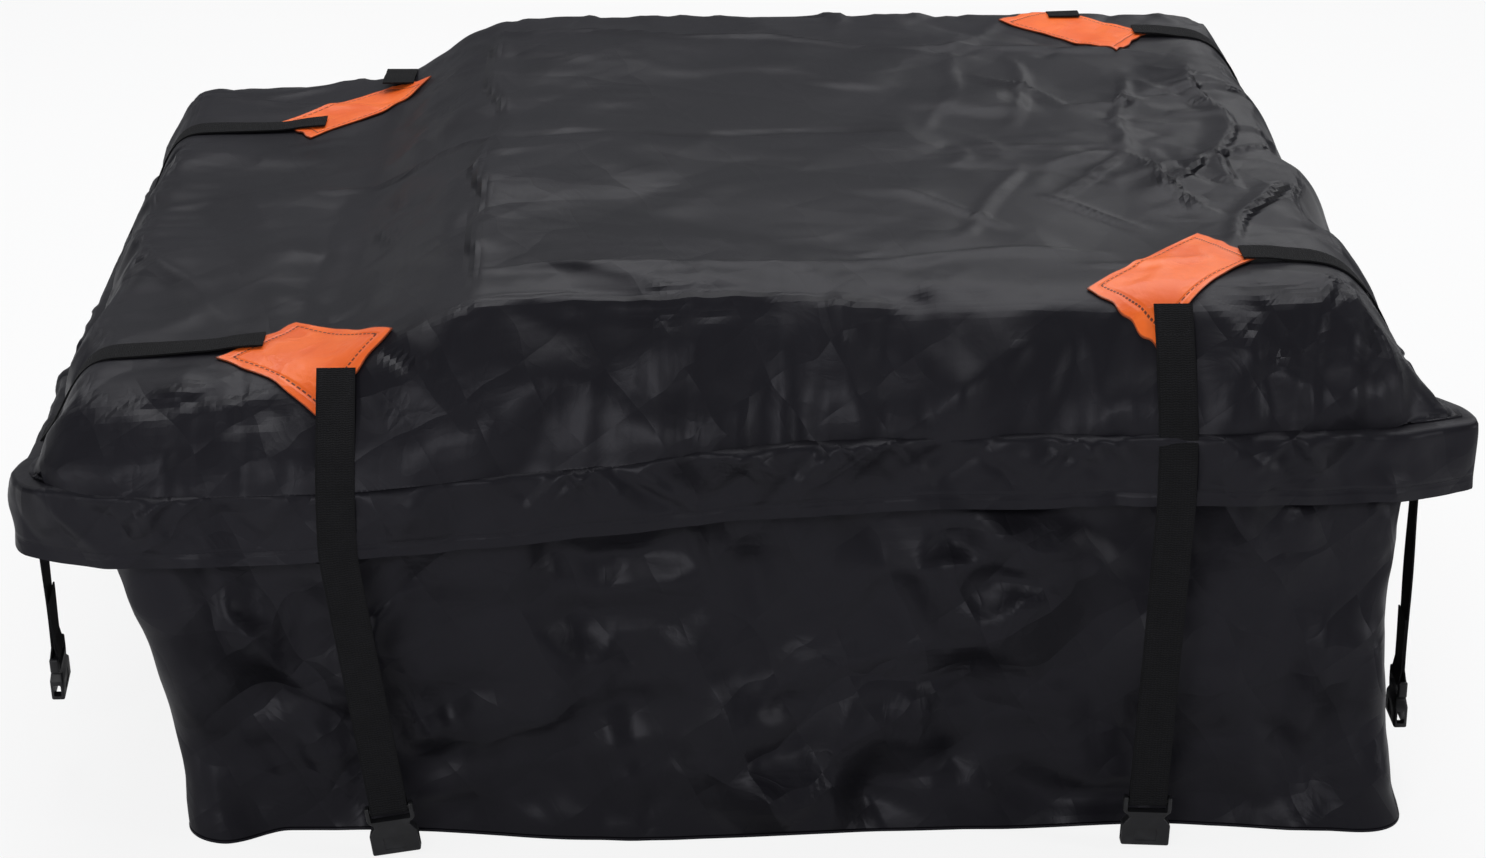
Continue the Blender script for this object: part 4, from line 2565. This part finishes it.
LAMPS = (
    SoftLamp("key", (0.2, 1.1, 2.9), (0, 0, 0.2), 3.0, 2.6, 80),
    SoftLamp("side", (2.8, -1.3, 1.1), (0.2, -0.2, 0.2), 0.5, 0.5, 18),
    SoftLamp("fill", (-2.7, -1.7, 0.9), (-0.1, -0.3, 0.2), 0.5, 0.5, 12),
    SoftLamp("strip", (-0.9, -3.2, 1.7), (0, -0.4, 0.2), 1.2, 0.3, 34),
    SoftLamp("rim", (2.2, 5.0, 2.2), (0.2, 0, 0.4), 2.0, 1.2, 14),
    SoftLamp("rim_left", (-3.0, 4.2, 2.2), (-0.3, 0, 0.4), 1.6, 1.0, 6),
)


@dataclass
class Studio:
    """Floor, soft lamps, pale surroundings and the camera of the photograph."""

    camera_at: Point = (-0.0635, -3.0097, 1.3173)
    camera_turn: Point = (69.365, 0.0, -1.404)
    lens: float = 86.73
    sky: float = 0.2

    def build(self) -> None:
        """Builds the studio."""
        self._camera()
        self._floor()
        self._surroundings()
        for lamp in LAMPS:
            lamp.add()

    def _camera(self) -> None:
        """Adds the camera."""
        data = bpy.data.cameras.new("camera")
        data.lens = self.lens
        data.sensor_width = 36
        data.clip_end = 60
        camera = bpy.data.objects.new("camera", data)
        camera.location = self.camera_at
        camera.rotation_euler = [math.radians(angle) for angle in self.camera_turn]
        bpy.context.scene.collection.objects.link(camera)
        bpy.context.scene.camera = camera

    def _floor(self) -> None:
        """Adds the floor."""
        bpy.ops.object.select_all(action="DESELECT")
        bpy.ops.mesh.primitive_plane_add(size=16, location=(0, 0, 0))
        floor = Bench.named("floor")
        floor.data.materials.append(Finishes.of(FloorFinish()))

    def _surroundings(self) -> None:
        """Makes the world: an even, pale light, a little cool, seen by the camera as white."""
        scene = bpy.context.scene
        world = bpy.data.worlds.new("studio")
        scene.world = world
        world.use_nodes = True
        tree = world.node_tree
        sky = tree.nodes["Background"]
        sky.inputs["Color"].default_value = (0.92, 0.94, 1, 1)
        sky.inputs["Strength"].default_value = self.sky
        white = tree.nodes.new("ShaderNodeBackground")
        white.inputs["Color"].default_value = (1, 1, 1, 1)
        paths = tree.nodes.new("ShaderNodeLightPath")
        mixed = tree.nodes.new("ShaderNodeMixShader")
        tree.links.new(paths.outputs["Is Camera Ray"], mixed.inputs[0])
        tree.links.new(sky.outputs[0], mixed.inputs[1])
        tree.links.new(white.outputs[0], mixed.inputs[2])
        tree.links.new(mixed.outputs[0], tree.nodes["World Output"].inputs["Surface"])
        scene.view_settings.view_transform = "Standard"


PATCHES = (
    CornerPatch("front_left", (-1, -1), (0.346, 0.368), 11, 0.86),
    CornerPatch("front_right", (1, -1), (0.331, 0.359), 19, 1.0),
    CornerPatch("rear_left", (-1, 1), (0.356, 0.304), 24, 0.93),
    CornerPatch("rear_right", (1, 1), (0.331, 0.348), 19, 1.0),
)


def bar_of(name: str) -> tuple[Vector, Vector]:
    """Returns the bar of one strap's buckle, from its hinge.

    Args:
        name: the strap's name.

    Returns:
        The bar's middle and its direction.
    """
    joint = next(j for j in frame["joints"] if j["name"] == f"buckle_swing_{name}")
    return Vector(joint["pos_m"]), Vector(joint["axis"]).normalized()


def report(obj: bpy.types.Object) -> None:
    """Logs one finished piece.

    Args:
        obj: the piece.
    """
    triangles = sum(len(face.vertices) - 2 for face in obj.data.polygons)
    log.info("%s: %d triangles", obj.name, triangles)


def main() -> None:
    """Builds the studio and every piece of the bag, in order."""
    logging.basicConfig(level=logging.INFO, format="%(name)s: %(message)s")
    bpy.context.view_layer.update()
    Studio().build()
    lid = Lid()
    report(lid.build())
    flap = StormFlap(lid.ring.refined(), "storm_flap_cloth")
    report(flap.build())
    wall = TubWall(lid.ring, "tub_wall_cloth")
    report(wall.build())
    report(BasePanel(wall).build())
    for patch in PATCHES:
        report(patch.build(lid))
    buckle = Buckle()
    master = buckle.master()
    for place in STRAP_PLACES:
        bar, axis = bar_of(place.name)
        report(Strap(place, bar, axis).build(lid, flap))
        report(buckle.copy_to(master, place, bar, axis))
    Bench.drop(master)
    for obj in Zip().build():
        report(obj)


if __name__ == "__main__":
    main()
